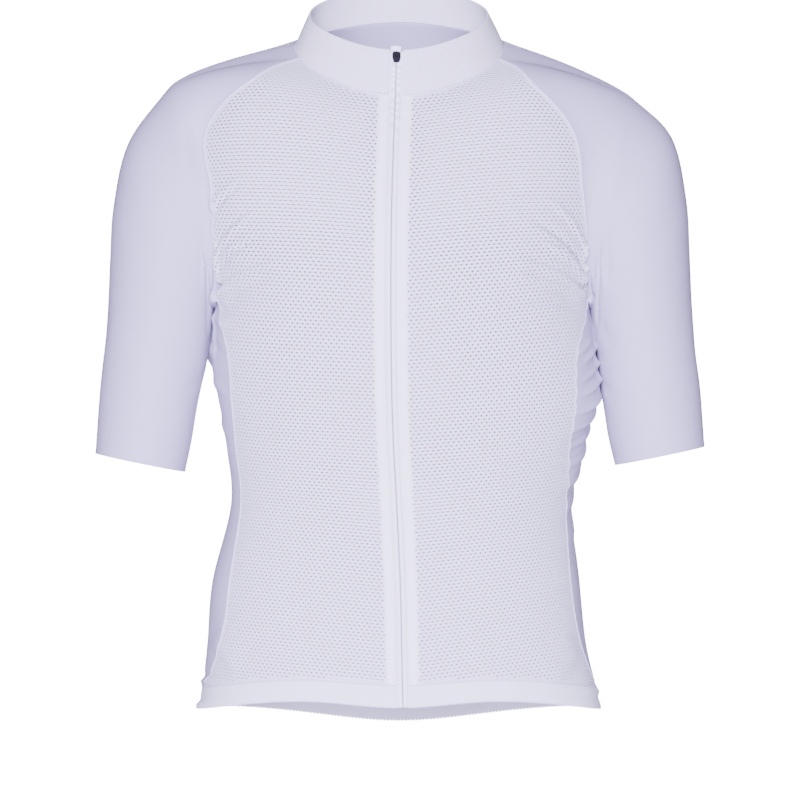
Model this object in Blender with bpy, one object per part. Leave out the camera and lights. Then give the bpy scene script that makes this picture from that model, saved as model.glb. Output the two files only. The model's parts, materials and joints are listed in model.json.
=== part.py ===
"""Short-sleeved cycling jersey, worn form without its wearer: the construction solids.

Frame: metres, +Z up, the front faces -Y, the garment's own left side is +X.
The origin is the middle of the neck opening, level with the points where the
collar meets the top of the shoulders.

The body cloth follows one form, a stack of closed sections. A point of the form has
an angle (0 at the front, 90 at the garment's left side, 180 at the back, -90 at its
right side) and a level (0 at the hem, counted up through the sections). Each cut piece
is a grid of such points between its seams, given a wall towards the inside.
"""
import math

import bmesh
import bpy
from mathutils import Matrix, Vector

MM = 0.001

# ---- driving dimensions, millimetres ------------------------------------------------
CLOTH = 1.2                  # wall of the body and sleeve cloth
COLLAR_WALL = 1.6            # two layers, folded at the top
BAND_WALL = 1.4              # elastic gripper band at the hem
POCKET_WALL = 1.2
TAPE_WALL = 1.1
SEAM_GAP = 0.3               # clearance between neighbouring pieces

ZIP_OPEN_HALF = 5.7          # half width of tape that shows between the fronts
TAPE_WIDTH = 14.5            # each tape, from the middle of the zip
TAPE_RAISED = 4.2            # the tape stands up to this far from the middle
TAPE_SHOW_DEPTH = 0.5        # raised part of the tape, below the face of the cloth
TAPE_DEPTH = COLLAR_WALL + SEAM_GAP
TAPE_END_LEVELS = 0.06       # the tapes stop this much of a level below the collar's top
GARAGE_LEVELS = 0.08         # the flap over the zip's top end starts so far below the top,
GARAGE_RISE = 3.0            # in levels, and stands so far above it
GARAGE_OFFSETS = (-5.0, -2.0, 1.0, 4.0)        # its columns, across the zip

POCKET_LEVEL = 4             # the pocket mouths lie at the waist section

# ---- how finely each piece is divided -----------------------------------------------
ROW_STEP = 0.5               # levels between the rows of the fronts and the back
SIDE_ROW_STEP = 0.25         # and of the side panels, which carry the folds
FRONT_COLUMNS = 9
BACK_COLUMNS = 18
SIDE_COLUMNS = 5
NECK_COLUMNS = 4             # columns of a sleeve along the neck seam

# ---- the body form: one row for each section, from the hem up to the neck seam ------
# Heights at the front, side and back, how the height runs between them (2 follows a
# tilted plane's square, 1 a tilted plane) and how far it waves on the front; how far
# the section reaches to the garment's right (-X), left (+X), front (-Y) and back (+Y);
# y of its widest place; squareness (2 is an ellipse); and the angles of the seams that
# cross it: front seam on the right and left side, back seam. From the armhole up those
# seams are the raglans.
SECTION_COLUMNS = ("name", "z_front", "z_side", "z_back", "power", "wave",
                   "right", "left", "front", "back", "middle", "square",
                   "seam_right", "seam_left", "seam_back")
SECTIONS = (
    ("hem",         -582, -589, -612, 2.0, 4.0, 178.0, 177.0, 112, 106,  0, 2.3, 83, 87, 112),
    ("band_seam",   -564, -571, -594, 2.0, 3.5, 173.8, 172.5, 111, 107,  0, 2.3, 80, 84, 112),
    ("seat",        -527, -534, -547, 2.0, 1.5, 169.4, 163.5, 109, 104,  0, 2.3, 71, 77, 112),
    ("hip",         -477, -482, -488, 2.0, 0.0, 165.0, 158.0, 106,  95,  0, 2.3, 69, 74, 112),
    ("waist",       -410, -415, -420, 2.0, 0.0, 148.8, 151.6, 103,  83,  0, 2.3, 72, 75, 112),
    ("lower_rib",   -363, -367, -368, 2.0, 0.0, 152.2, 161.5, 107,  86,  0, 2.3, 73, 70, 112),
    ("rib",         -320, -323, -322, 2.0, 0.0, 159.7, 174.5, 113,  93,  0, 2.3, 71, 66, 111),
    ("under_arm",   -277, -279, -277, 2.0, 0.0, 165.2, 171.0, 119, 100,  0, 2.3, 69, 68, 109),
    ("armhole",     -233, -236, -232, 2.0, 0.0, 163.4, 166.5, 122, 106,  0, 2.3, 77, 79, 106),
    ("chest",       -190, -190, -181, 2.0, 0.0, 176.0, 176.0, 121, 110,  0, 2.2, 72, 72, 108),
    ("shoulder",    -152, -142, -130, 2.0, 0.0, 187.0, 184.0, 115, 109,  0, 2.2, 69, 68, 110),
    ("yoke",        -118,  -84,  -78, 1.7, 0.0, 186.0, 182.0, 105, 103,  0, 2.2, 73, 67, 112),
    ("collarbone",  -88,   -18,  -20, 1.1, 0.0, 152.0, 148.0,  93,  89, -2, 2.2, 66, 62, 118),
    ("neck",        -60,   -12,   15, 1.0, 0.0,  92.5,  91.5,  80,  66, -7, 2.1, 74, 73, 130),
)
BAND_SEAM = 1
ARMHOLE = 8
NECK = len(SECTIONS) - 1

# The collar carries on from the neck seam with its own sections.
COLLAR_SECTIONS = (
    SECTIONS[NECK],
    ("stand",       -40,     2,   30, 1.0, 0.0,  86.0,  84.5,  74,  61, -6, 2.1, 74, 73, 130),
    ("fold",        -20,    17,   47, 1.0, 0.0,  79.5,  77.5,  68,  56, -6, 2.1, 74, 73, 130),
)
COLLAR_TOP = NECK + len(COLLAR_SECTIONS) - 1

# x of the zip's middle at each section, hem to neck, then up the collar
ZIP_X = (2.6, 2.2, 1.4, 0.2, -3.0, -5.5, -7.0, -7.6, -7.8, -7.6, -7.0, -6.0, -5.0, -3.9)
ZIP_X_COLLAR = (-3.9, -3.4, -3.0)

# ---- the arm: one row for each ring, from the shoulder cap to the cuff --------------
# Outer and inner point of the ring in the front view, its reach forwards and
# backwards, how much of the shoulder lift those two points take, and how far the left
# arm's inner point lies out, and the right arm's lies in, from the one given.
ARM_COLUMNS = ("name", "outer_x", "outer_z", "inner_x", "inner_z", "front", "back",
               "outer_lift", "inner_lift", "inner_side")
ARM_RINGS = (
    ("cap",         203,  -53, 165.9, -241,  62, 64,  0.8,  0.0, 1.7),
    ("deltoid",     238,  -94, 167.4, -257,  61, 61, -0.5,  0.0, 2.0),
    ("upper",       251, -149, 170.7, -277,  57, 57, -0.5,  0.0, 2.0),
    ("middle",      254, -196, 173.7, -296,  53, 54,  0.0,  0.0, 1.7),
    ("lower",       256, -240, 176.6, -312,  50, 52,  0.0,  0.0, 0.7),
    ("slack",       260, -285, 180.2, -332,  48, 50,  0.0,  0.0, 0.3),
    ("biceps",      264, -325, 184.0, -356,  46, 48, -0.3, -0.3, 0.0),
    ("cuff",        267, -367, 190.0, -383,  44, 45, -0.6, -0.6, 0.0),
)
SHOULDER_LIFT = {"right": 5.0, "left": -5.0}   # the right shoulder is carried higher
SLEEVE_ROWS_CAP = 5
SLEEVE_ROWS_RING = 1.5
ALPHA_NECK = 15.0            # arm angle of the raglan's top end
ALPHA_UNDER = 158.0          # arm angle of its lower end
ALPHA_EASE = 1.3
ARMHOLE_DIP = 7.0            # the armhole runs lower in the middle of the side panel

# ---- the largest folds: where each starts and ends on the form, width and height ----
# Negative heights are troughs. Angles are in degrees, heights in millimetres.
FOLD_COLUMNS = ("angle_1", "z_1", "angle_2", "z_2", "width", "height")
BODY_FOLDS = (
    (62, -318, 104, -262, 11, -1.2),      # left side, slanting up to the back
    (64, -345, 106, -290, 10,  1.2),
    (64, -372, 108, -318, 11, -2.2),
    (68, -404, 108, -352, 12,  1.8),
    (-70, -272, -104, -254, 11, -1.8),    # right side, below the arm
    (-72, -304, -108, -290, 12, 1.8),
    (44, -205,  72, -238, 10, -2.2),      # fronts drawn into the armpits
    (50, -172,  67, -200,  9,  1.4),
    (-46, -208, -72, -236, 10, -2.2),
    (-52, -176, -68, -202,  9,  1.4),
    (52, -560,  74, -528, 12,  2.0),      # corners of the hem
    (-58, -552, -76, -520, 12, 2.0),
    (118, -300, 150, -270, 14, -2.0),     # back, from the armholes inwards
    (-118, -304, -148, -278, 14, -2.0),
    (128, -420, 232, -424, 15,  2.4),     # across the small of the back
    (138, -392, 222, -388, 14, -2.0),
)

# ---- the zip's slider and pull tab --------------------------------------------------
# Measured in the slider's own frame: X to the garment's left, Y into the cloth, Z up
# the zip, with the origin at the slider's top end on the face of the cloth.
SLIDER_Z = -22.2             # height of that origin on the collar
SLIDER_OUTLINE = ((-2.7, -9.0), (2.7, -9.0), (3.6, -4.6), (3.6, -1.0),
                  (2.6, 0.0), (-2.6, 0.0), (-3.6, -1.0), (-3.6, -4.6))
SLIDER_PLATE = 1.6
SLIDER_BACK = SEAM_GAP - TAPE_SHOW_DEPTH       # rises over the face of the cloth
SLIDER_FACE = SLIDER_BACK + SLIDER_PLATE
CROWN_TOP = -0.5             # the arched loop that holds the tab
CROWN_END = -4.9
CROWN_HALF = 0.7
CROWN_HOLE = 1.7
CROWN_BAR = 0.9
HINGE_Z = -2.1               # the tab turns on its top bar, inside the loop
TAB_THICK = 1.1
TAB_OUTLINE = ((-1.7, -7.9), (1.7, -7.9), (2.6, -6.6), (2.6, -0.2),
               (2.2, 0.5), (-2.2, 0.5), (-2.6, -0.2), (-2.6, -6.6))
TAB_WINDOW = ((-1.25, -4.2), (1.25, -4.2), (1.25, -0.5), (-1.25, -0.5))


# ---- materials ----------------------------------------------------------------------
def material(name, colour, roughness, metallic=0.0):
    made = bpy.data.materials.new(name)
    made.use_nodes = True
    shader = made.node_tree.nodes["Principled BSDF"]
    shader.inputs["Base Color"].default_value = (*colour, 1.0)
    shader.inputs["Roughness"].default_value = roughness
    shader.inputs["Metallic"].default_value = metallic
    return made


# ---- reading the tables -------------------------------------------------------------
def column(rows, names, name):
    return [row[names.index(name)] for row in rows]


def spline(values, at):
    """Smooth value between evenly spaced table rows (Catmull-Rom)."""
    last = len(values) - 1
    start = min(max(int(math.floor(at)), 0), last - 1)
    t = at - start
    p1 = values[start]
    p2 = values[start + 1]
    p0 = values[start - 1] if start > 0 else 2 * p1 - p2
    p3 = values[start + 2] if start + 2 <= last else 2 * p2 - p1
    return 0.5 * (2 * p1 + (p2 - p0) * t + (2 * p0 - 5 * p1 + 4 * p2 - p3) * t * t
                  + (3 * p1 - p0 - 3 * p2 + p3) * t ** 3)


BODY_TABLE = {name: column(SECTIONS, SECTION_COLUMNS, name) for name in SECTION_COLUMNS[1:]}
COLLAR_TABLE = {name: column(COLLAR_SECTIONS, SECTION_COLUMNS, name)
                for name in SECTION_COLUMNS[1:]}
ARM_TABLE = {name: column(ARM_RINGS, ARM_COLUMNS, name) for name in ARM_COLUMNS[1:]}


def section(level, name):
    if level <= NECK:
        return spline(BODY_TABLE[name], level)
    return spline(COLLAR_TABLE[name], level - NECK)


def zip_x(level):
    if level <= NECK:
        return spline(ZIP_X, level)
    return spline(ZIP_X_COLLAR, level - NECK)


# ---- the body form ------------------------------------------------------------------
def smooth_step(value):
    value = min(max(value, 0.0), 1.0)
    return value * value * (3 - 2 * value)


def fold_height(angle, level, z):
    """Sum of the folds at a place of the body, as a distance along the normal."""
    total = 0.0
    reach = 0.5 * (section(level, "left") + section(level, "right"))
    for row in BODY_FOLDS:
        fold = dict(zip(FOLD_COLUMNS, row))
        turned = (angle - 0.5 * (fold["angle_1"] + fold["angle_2"]) + 180.0) % 360.0 - 180.0
        along_angle = math.radians(fold["angle_2"] - fold["angle_1"]) * reach
        along_z = fold["z_2"] - fold["z_1"]
        place_angle = math.radians(turned) * reach
        place_z = z - 0.5 * (fold["z_1"] + fold["z_2"])
        length = math.hypot(along_angle, along_z)
        along = (place_angle * along_angle + place_z * along_z) / length
        across = (place_angle * along_z - place_z * along_angle) / length
        taper = smooth_step((0.5 * length - abs(along)) / (0.3 * length))
        total += fold["height"] * taper * math.exp(-(across / fold["width"]) ** 2)
    return total


def smooth_form(angle, level):
    """Point of the form, in millimetres, without its folds."""
    right = section(level, "right")
    left = section(level, "left")
    middle = section(level, "middle")
    square = section(level, "square")
    turn = math.radians(angle)
    sine = math.sin(turn)
    cosine = math.cos(turn)
    half_width = 0.5 * (left + right)
    if cosine >= 0:
        half_depth = section(level, "front") + middle
        z_end = section(level, "z_front")
    else:
        half_depth = section(level, "back") - middle
        z_end = section(level, "z_back")
    radius = (abs(sine / half_width) ** square
              + abs(cosine / half_depth) ** square) ** (-1.0 / square)
    z_side = section(level, "z_side")
    z = z_side + (z_end - z_side) * abs(cosine) ** section(level, "power")
    z -= section(level, "wave") * (math.cos(4 * turn) if cosine >= 0 else sine * sine)
    return Vector((0.5 * (left - right) + radius * sine, middle - radius * cosine, z))


def form_normal(angle, level):
    """Outward normal of the form, taken inside the body or inside the collar."""
    step = 0.04
    low = max(level - step, 0.0)
    high = min(level + step, COLLAR_TOP)
    if level <= NECK:
        high = min(high, NECK)
    else:
        low = max(low, NECK)
    around = smooth_form(angle + 0.5, level) - smooth_form(angle - 0.5, level)
    up = smooth_form(angle, high) - smooth_form(angle, low)
    return around.cross(up).normalized()


def form(angle, level):
    point = smooth_form(angle, level)
    if level < ARMHOLE + 1:
        return point + form_normal(angle, level) * fold_height(angle, level, point.z)
    return point


def angle_at_x(x, level):
    """Angle of the front point of a section that has the given x."""
    middle_x = 0.5 * (section(level, "left") - section(level, "right"))
    angle = 0.0
    for _ in range(4):
        point = smooth_form(angle, level)
        radius = math.hypot(point.x - middle_x, point.y - section(level, "middle"))
        angle = math.degrees(math.asin((x - middle_x) / radius))
    return angle


def zip_angle(side, offset, level):
    """Angle of the place that lies an offset to one side of the zip's middle."""
    sign = 1 if side == "left" else -1
    return angle_at_x(zip_x(level) + sign * offset, level)


def front_seam(side, level):
    """Angle of the front edge of the side panel, and of the front raglan seam."""
    if side == "left":
        return section(level, "seam_left")
    return -section(level, "seam_right")


def back_seam(side, level):
    angle = section(level, "seam_back")
    return angle if side == "left" else -angle


def arc_step(angle, level, distance):
    """Degrees that make the given distance around the form."""
    around = smooth_form(angle + 0.5, level) - smooth_form(angle - 0.5, level)
    return distance / around.length


def level_step(angle, level, distance):
    """Levels that make the given distance up the form."""
    near = min(max(level, 0.02), COLLAR_TOP - 0.02)
    up = smooth_form(angle, near + 0.02) - smooth_form(angle, near - 0.02)
    return 0.04 * distance / up.length


def levels(first, last, step):
    count = max(1, round((last - first) / step))
    return [first + (last - first) * index / count for index in range(count + 1)]


# ---- walls --------------------------------------------------------------------------
def add_object(name, points, faces, finish):
    mesh = bpy.data.meshes.new(name)
    mesh.from_pydata([tuple(point * MM) for point in points], [], faces)
    mesh.materials.append(finish)
    mesh.validate()
    mesh.shade_smooth()
    mesh.set_sharp_from_angle(angle=math.radians(40))
    made = bpy.data.objects.new(name, mesh)
    bpy.context.scene.collection.objects.link(made)
    return made


def wall(name, grid, normals, outside, thickness, finish, closed=False):
    """Closed wall on a grid of form points.

    Rows go up and columns go round towards the garment's left, so the faces point
    out. The wall starts `outside` off the form and is `thickness` deep.
    """
    rows = len(grid)
    columns = len(grid[0])
    points = []
    for depth in (outside, outside - thickness):
        for row in range(rows):
            for place in range(columns):
                points.append(grid[row][place] + normals[row][place] * depth)
    inner = rows * columns
    spans = columns if closed else columns - 1

    def index(row, place, layer=0):
        return layer * inner + row * columns + place % columns

    faces = []
    for row in range(rows - 1):
        for place in range(spans):
            a, b = (row, place), (row, place + 1)
            c, d = (row + 1, place + 1), (row + 1, place)
            for corners in ((a, b, c), (a, c, d)):
                faces.append([index(*corner) for corner in corners])
                faces.append([index(*corner, layer=1) for corner in reversed(corners)])
    for place in range(spans):
        faces.append([index(0, place + 1), index(0, place),
                      index(0, place, 1), index(0, place + 1, 1)])
        faces.append([index(rows - 1, place), index(rows - 1, place + 1),
                      index(rows - 1, place + 1, 1), index(rows - 1, place, 1)])
    if not closed:
        for row in range(rows - 1):
            faces.append([index(row, 0), index(row + 1, 0),
                          index(row + 1, 0, 1), index(row, 0, 1)])
            faces.append([index(row + 1, columns - 1), index(row, columns - 1),
                          index(row, columns - 1, 1), index(row + 1, columns - 1, 1)])
    return add_object(name, points, faces, finish)


def form_wall(name, rows, outside, thickness, finish, finer=1):
    """Wall on rows of (angle, level) places of the form.

    A piece with `finer` times as many rows as its neighbours keeps their straight
    edges along both seams.
    """
    grid = [[form(angle, level) for angle, level in row] for row in rows]
    normals = [[form_normal(angle, level) for angle, level in row] for row in rows]
    for table in (grid, normals):
        for row in range(len(rows)):
            low = row - row % finer
            share = (row - low) / finer
            for place in (0, -1):
                if share:
                    table[row][place] = table[low][place].lerp(table[low + finer][place], share)
    return wall(name, grid, normals, outside, thickness, finish)


def between(first, last, count):
    return [first + (last - first) * index / count for index in range(count + 1)]


# ---- body pieces --------------------------------------------------------------------
def seam_row(edge_1, edge_2, level, count):
    """Places of one row, held half a seam gap inside its two edges."""
    low, high = sorted((edge_1, edge_2))
    low += arc_step(low, level, SEAM_GAP / 2)
    high -= arc_step(high, level, SEAM_GAP / 2)
    return [(angle, level) for angle in between(low, high, count)]


def inset_levels(angle, first, last, step):
    """Levels of the rows, held half a seam gap inside the two ends."""
    made = levels(first, last, step)
    made[0] += level_step(angle, first, SEAM_GAP / 2)
    made[-1] -= level_step(angle, last - 0.02, SEAM_GAP / 2)
    return made


def build_front(side, finish):
    rows = [seam_row(zip_angle(side, ZIP_OPEN_HALF, level), front_seam(side, level), level,
                     FRONT_COLUMNS)
            for level in inset_levels(0, BAND_SEAM, NECK, ROW_STEP)]
    form_wall("front_" + side, rows, 0.0, CLOTH, finish)


def back_rows():
    return [seam_row(back_seam("left", level), 360 + back_seam("right", level), level,
                     BACK_COLUMNS)
            for level in inset_levels(180, BAND_SEAM, NECK, ROW_STEP)]


def build_back(finish):
    form_wall("back", back_rows(), 0.0, CLOTH, finish)


def build_back_pockets(finish):
    """Patch pockets across the small of the back, on the back's own points."""
    rows = [row for row in back_rows() if row[0][1] < POCKET_LEVEL + 0.01]
    form_wall("back_pockets", rows, SEAM_GAP + POCKET_WALL, POCKET_WALL, finish)


def armhole_level(angle, side):
    """Level of the armhole's edge over the side panel."""
    edges = sorted((front_seam(side, ARMHOLE), back_seam(side, ARMHOLE)))
    share = (angle - edges[0]) / (edges[1] - edges[0])
    dip = ARMHOLE_DIP * math.sin(math.pi * min(max(share, 0.0), 1.0)) ** 1.5
    return ARMHOLE - level_step(angle, ARMHOLE, dip)


def build_side_panel(side, finish):
    rows = []
    for level in inset_levels(90, BAND_SEAM, ARMHOLE, SIDE_ROW_STEP):
        row = seam_row(front_seam(side, level), back_seam(side, level), level, SIDE_COLUMNS)
        share = smooth_step((level - (ARMHOLE - 1.2)) / 1.2)
        rows.append([(angle, level - share * (ARMHOLE - armhole_level(angle, side)))
                     for angle, level in row])
    form_wall("side_panel_" + side, rows, 0.0, CLOTH, finish,
              finer=round(ROW_STEP / SIDE_ROW_STEP))


def all_round(level, side_columns):
    """Angles of a row all round from the zip, with a column at each seam and between."""
    stops = ((zip_angle("left", ZIP_OPEN_HALF + SEAM_GAP / 2, level), FRONT_COLUMNS),
             (front_seam("left", level), side_columns),
             (back_seam("left", level), BACK_COLUMNS),
             (360 + back_seam("right", level), side_columns),
             (360 + front_seam("right", level), FRONT_COLUMNS),
             (360 + zip_angle("right", ZIP_OPEN_HALF + SEAM_GAP / 2, level), 0))
    angles = [stops[0][0]]
    for (first, count), (last, _) in zip(stops, stops[1:]):
        angles += between(first, last, count)[1:]
    return angles


def build_hem_band(finish):
    top = BAND_SEAM - level_step(0, 0.5, SEAM_GAP / 2)
    rows = [[(angle, level) for angle in all_round(level, SIDE_COLUMNS)]
            for level in between(0.0, top, 2)]
    form_wall("hem_band", rows, 0.0, BAND_WALL, finish)


def build_collar(finish):
    low = NECK + level_step(0, NECK + 0.5, SEAM_GAP / 2)
    rows = [[(angle, level) for angle in all_round(level, NECK_COLUMNS)]
            for level in between(low, COLLAR_TOP, 3)]
    form_wall("collar", rows, 0.0, COLLAR_WALL, finish)


# ---- sleeves ------------------------------------------------------------------------
def raglan_places(side):
    """Places around the armhole, each with the arm angle that it leads to.

    The list starts at the front end of the neck seam and goes back over the shoulder,
    down the back raglan, forward under the arm and up the front raglan.
    """
    front = front_seam(side, NECK)
    back = back_seam(side, NECK)
    raglan_rows = round((NECK - ARMHOLE) / ROW_STEP)
    places = []
    for share in between(0.0, 1.0, NECK_COLUMNS)[:-1]:
        places.append((front + (back - front) * share, NECK, ALPHA_NECK * (1 - 2 * share)))
    for share in between(0.0, 1.0, raglan_rows)[:-1]:
        level = NECK + (ARMHOLE - NECK) * share
        places.append((back_seam(side, level), level, -raglan_alpha(share)))
    for share in between(0.0, 1.0, SIDE_COLUMNS)[:-1]:
        angle = back_seam(side, ARMHOLE) * (1 - share) + front_seam(side, ARMHOLE) * share
        alpha = -ALPHA_UNDER - 2 * (180 - ALPHA_UNDER) * share
        places.append((angle, armhole_level(angle, side), alpha))
    for share in between(1.0, 0.0, raglan_rows)[:-1]:
        level = NECK + (ARMHOLE - NECK) * share
        places.append((front_seam(side, level), level, raglan_alpha(share) - 360))
    return places


def raglan_alpha(share):
    """Arm angle that a place of the raglan leads to: 0 at the neck, 1 at the armhole."""
    return ALPHA_NECK + (ALPHA_UNDER - ALPHA_NECK) * share ** ALPHA_EASE


def arm_point(side, ring, alpha):
    """Point of an arm ring: 0 is its outer point, 180 the inner, 90 the front."""
    sign = 1 if side == "left" else -1
    outer, inner = [Vector((sign * spline(ARM_TABLE[end + "_x"], ring), 0,
                            spline(ARM_TABLE[end + "_z"], ring)
                            + SHOULDER_LIFT[side] * spline(ARM_TABLE[end + "_lift"], ring)))
                    for end in ("outer", "inner")]
    inner.x += spline(ARM_TABLE["inner_side"], ring)
    turn = math.radians(alpha)
    reach = spline(ARM_TABLE["front" if math.sin(turn) >= 0 else "back"], ring)
    middle = (outer + inner) / 2
    return middle + (outer - inner) / 2 * math.cos(turn) + Vector((0, -reach, 0)) * math.sin(turn)


def hermite(start, end, start_slope, end_slope, t):
    return (start * (2 * t ** 3 - 3 * t * t + 1) + start_slope * (t ** 3 - 2 * t * t + t)
            + end * (3 * t * t - 2 * t ** 3) + end_slope * (t ** 3 - t * t))


def sleeve_column(side, places, index):
    """Points from the armhole to the cuff under one place of the armhole."""
    angle, level, alpha = places[index]
    start = smooth_form(angle, level)
    normal = form_normal(angle, level)
    cap = arm_point(side, 0, alpha)
    to_cap = cap - start
    distance = to_cap.length
    away = (to_cap - normal * to_cap.dot(normal)).normalized()
    level_with = 1 - smooth_step((abs((alpha + 180) % 360 - 180) - 95) / 60)
    if level < NECK:
        to_arm = smooth_form(angle + 0.5, level) - smooth_form(angle - 0.5, level)
        if abs(angle) > 90:
            to_arm = -to_arm
        if side == "right":
            to_arm = -to_arm
        level_with *= smooth_step((away.dot(to_arm.normalized()) + 0.1) / 0.6)
    start_slope = away * distance * level_with + to_cap * (1 - level_with)
    end_slope = (arm_point(side, 0.5, alpha) - cap) * 2.0
    if end_slope.length > 1.3 * distance:
        end_slope *= 1.3 * distance / end_slope.length
    first = min(0.5, SEAM_GAP / 2 / max(start_slope.length, 0.3))
    column_points = []
    for step in range(SLEEVE_ROWS_CAP):
        t = max(step / SLEEVE_ROWS_CAP, first)
        column_points.append(hermite(start, cap, start_slope, end_slope, t))
    rings = len(ARM_RINGS) - 1
    count = round(rings * SLEEVE_ROWS_RING)
    for step in range(count + 1):
        column_points.append(arm_point(side, rings * step / count, alpha))
    return column_points, normal


def grid_normals(grid, closed):
    """Normals of a grid from its neighbours."""
    rows = len(grid)
    columns = len(grid[0])
    normals = []
    for row in range(rows):
        line = []
        for place in range(columns):
            if closed:
                around = grid[row][(place + 1) % columns] - grid[row][place - 1]
            else:
                around = grid[row][min(place + 1, columns - 1)] - grid[row][max(place - 1, 0)]
            up = grid[min(row + 1, rows - 1)][place] - grid[max(row - 1, 0)][place]
            line.append(around.cross(up).normalized())
        normals.append(line)
    return normals


def build_sleeve(side, finish):
    places = raglan_places(side)
    columns = [sleeve_column(side, places, index) for index in range(len(places))]
    if side == "left":
        columns.reverse()
    count = len(columns[0][0])
    grid = [[made[0][row] for made in columns] for row in reversed(range(count))]
    normals = grid_normals(grid, True)
    for place, made in enumerate(columns):
        own = normals[-1][place]
        if own.dot(made[1]) > 0.2:
            normals[-1][place] = made[1]
            normals[-2][place] = (normals[-2][place] * 2 + made[1]).normalized()
    wall("sleeve_" + side, grid, normals, 0.0, CLOTH, finish, closed=True)


# ---- zip ----------------------------------------------------------------------------
def tape_rows():
    rows = levels(0.0, NECK, 0.5)
    return rows + between(NECK, COLLAR_TOP - TAPE_END_LEVELS, 4)[1:]


def build_zip_tape(side, finish):
    offsets = (SEAM_GAP / 2, TAPE_RAISED, ZIP_OPEN_HALF - SEAM_GAP, TAPE_WIDTH)
    depths = (TAPE_SHOW_DEPTH, TAPE_SHOW_DEPTH, TAPE_DEPTH, TAPE_DEPTH)
    if side == "right":
        offsets = offsets[::-1]
        depths = depths[::-1]
    grid = []
    normals = []
    for level in tape_rows():
        line = []
        line_normals = []
        for offset, depth in zip(offsets, depths):
            angle = zip_angle(side, offset, level)
            normal = form_normal(angle, level)
            line.append(smooth_form(angle, level) - normal * depth)
            line_normals.append(normal)
        grid.append(line)
        normals.append(line_normals)
    wall("zip_tape_" + side, grid, normals, 0.0, TAPE_WALL, finish)


def build_zip_garage(finish):
    """Flap folded over the top end of the tapes."""
    grid, normals = [], []
    for level, rise in ((COLLAR_TOP - GARAGE_LEVELS, 0.0), (COLLAR_TOP, 0.0),
                        (COLLAR_TOP, GARAGE_RISE)):
        angles = [angle_at_x(zip_x(level) + offset, level) for offset in GARAGE_OFFSETS]
        grid.append([smooth_form(angle, level) + Vector((0, 0, rise)) for angle in angles])
        normals.append([form_normal(angle, level) for angle in angles])
    wall("zip_garage", grid, normals, CLOTH, CLOTH, finish)


def collar_frame(z):
    """Frame of a place on the middle of the zip, at a height of the collar."""
    low, high = NECK, COLLAR_TOP
    for _ in range(20):
        level = (low + high) / 2
        if smooth_form(zip_angle("left", 0, level), level).z < z:
            low = level
        else:
            high = level
    angle = zip_angle("left", 0, level)
    inward = -form_normal(angle, level)
    inward.x = 0
    inward.normalize()
    across = Vector((1, 0, 0))
    turn = Matrix((across, inward, across.cross(inward))).transposed().to_4x4()
    return Matrix.Translation(smooth_form(angle, level)) @ turn


def prism(loops, low, high, corner):
    """Closed block over an outline and its holes, from one depth to another.

    `corner` turns a point of a loop and a depth into a place of the slider's frame.
    """
    work = bmesh.new()
    edges = []
    for loop in loops:
        points = [work.verts.new(corner(*place, low)) for place in loop]
        edges += [work.edges.new((points[index - 1], points[index]))
                  for index in range(len(points))]
    filled = bmesh.ops.triangle_fill(work, edges=edges, use_beauty=True)
    faces = [item for item in filled["geom"] if isinstance(item, bmesh.types.BMFace)]
    raised = bmesh.ops.extrude_face_region(work, geom=faces)["geom"]
    shift = Vector(corner(0, 0, high)) - Vector(corner(0, 0, low))
    bmesh.ops.translate(work, vec=shift,
                        verts=[item for item in raised if isinstance(item, bmesh.types.BMVert)])
    bmesh.ops.recalc_face_normals(work, faces=work.faces)
    return work


def plate_corner(x, z, rise):
    return (x, -rise, z)


def arch_corner(z, rise, x):
    return (x, -rise, z)


def hardware(name, work, frame, finish):
    """Object of a block, at its place in the garment."""
    work.transform(Matrix.Scale(MM, 4))
    mesh = bpy.data.meshes.new(name)
    work.to_mesh(mesh)
    work.free()
    mesh.materials.append(finish)
    made = bpy.data.objects.new(name, mesh)
    bpy.context.scene.collection.objects.link(made)
    made.matrix_world = Matrix.Translation(frame.translation * MM) @ frame.to_3x3().to_4x4()
    return made


def build_zip_slider(finish):
    """Slider plate on the tapes, with the arched loop that holds the tab."""
    frame = collar_frame(SLIDER_Z)
    plate = prism((SLIDER_OUTLINE,), SLIDER_BACK, SLIDER_FACE, plate_corner)
    slider = hardware("zip_slider", plate, frame, finish)
    under = SLIDER_FACE + CROWN_HOLE
    foot = SLIDER_FACE - SLIDER_PLATE / 2
    arch = ((CROWN_END, foot), (CROWN_END, under + CROWN_BAR), (CROWN_TOP, under + CROWN_BAR),
            (CROWN_TOP, foot), (CROWN_TOP - CROWN_BAR, foot), (CROWN_TOP - CROWN_BAR, under),
            (CROWN_END + CROWN_BAR, under), (CROWN_END + CROWN_BAR, foot))
    crown = hardware("crown", prism((arch,), -CROWN_HALF, CROWN_HALF, arch_corner),
                     frame, finish)
    crown.hide_render = True
    crown.display_type = "WIRE"
    join = slider.modifiers.new("crown", "BOOLEAN")
    join.operation = "UNION"
    join.object = crown


def build_pull_tab(finish):
    """Tab hanging from the loop; its origin is on the axis that it turns on."""
    hinge = Vector((0, -(SLIDER_FACE + CROWN_HOLE / 2), HINGE_Z))
    frame = collar_frame(SLIDER_Z) @ Matrix.Translation(hinge)
    block = prism((TAB_OUTLINE, TAB_WINDOW), -TAB_THICK / 2, TAB_THICK / 2, plate_corner)
    hardware("pull_tab", block, frame, finish)


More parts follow.
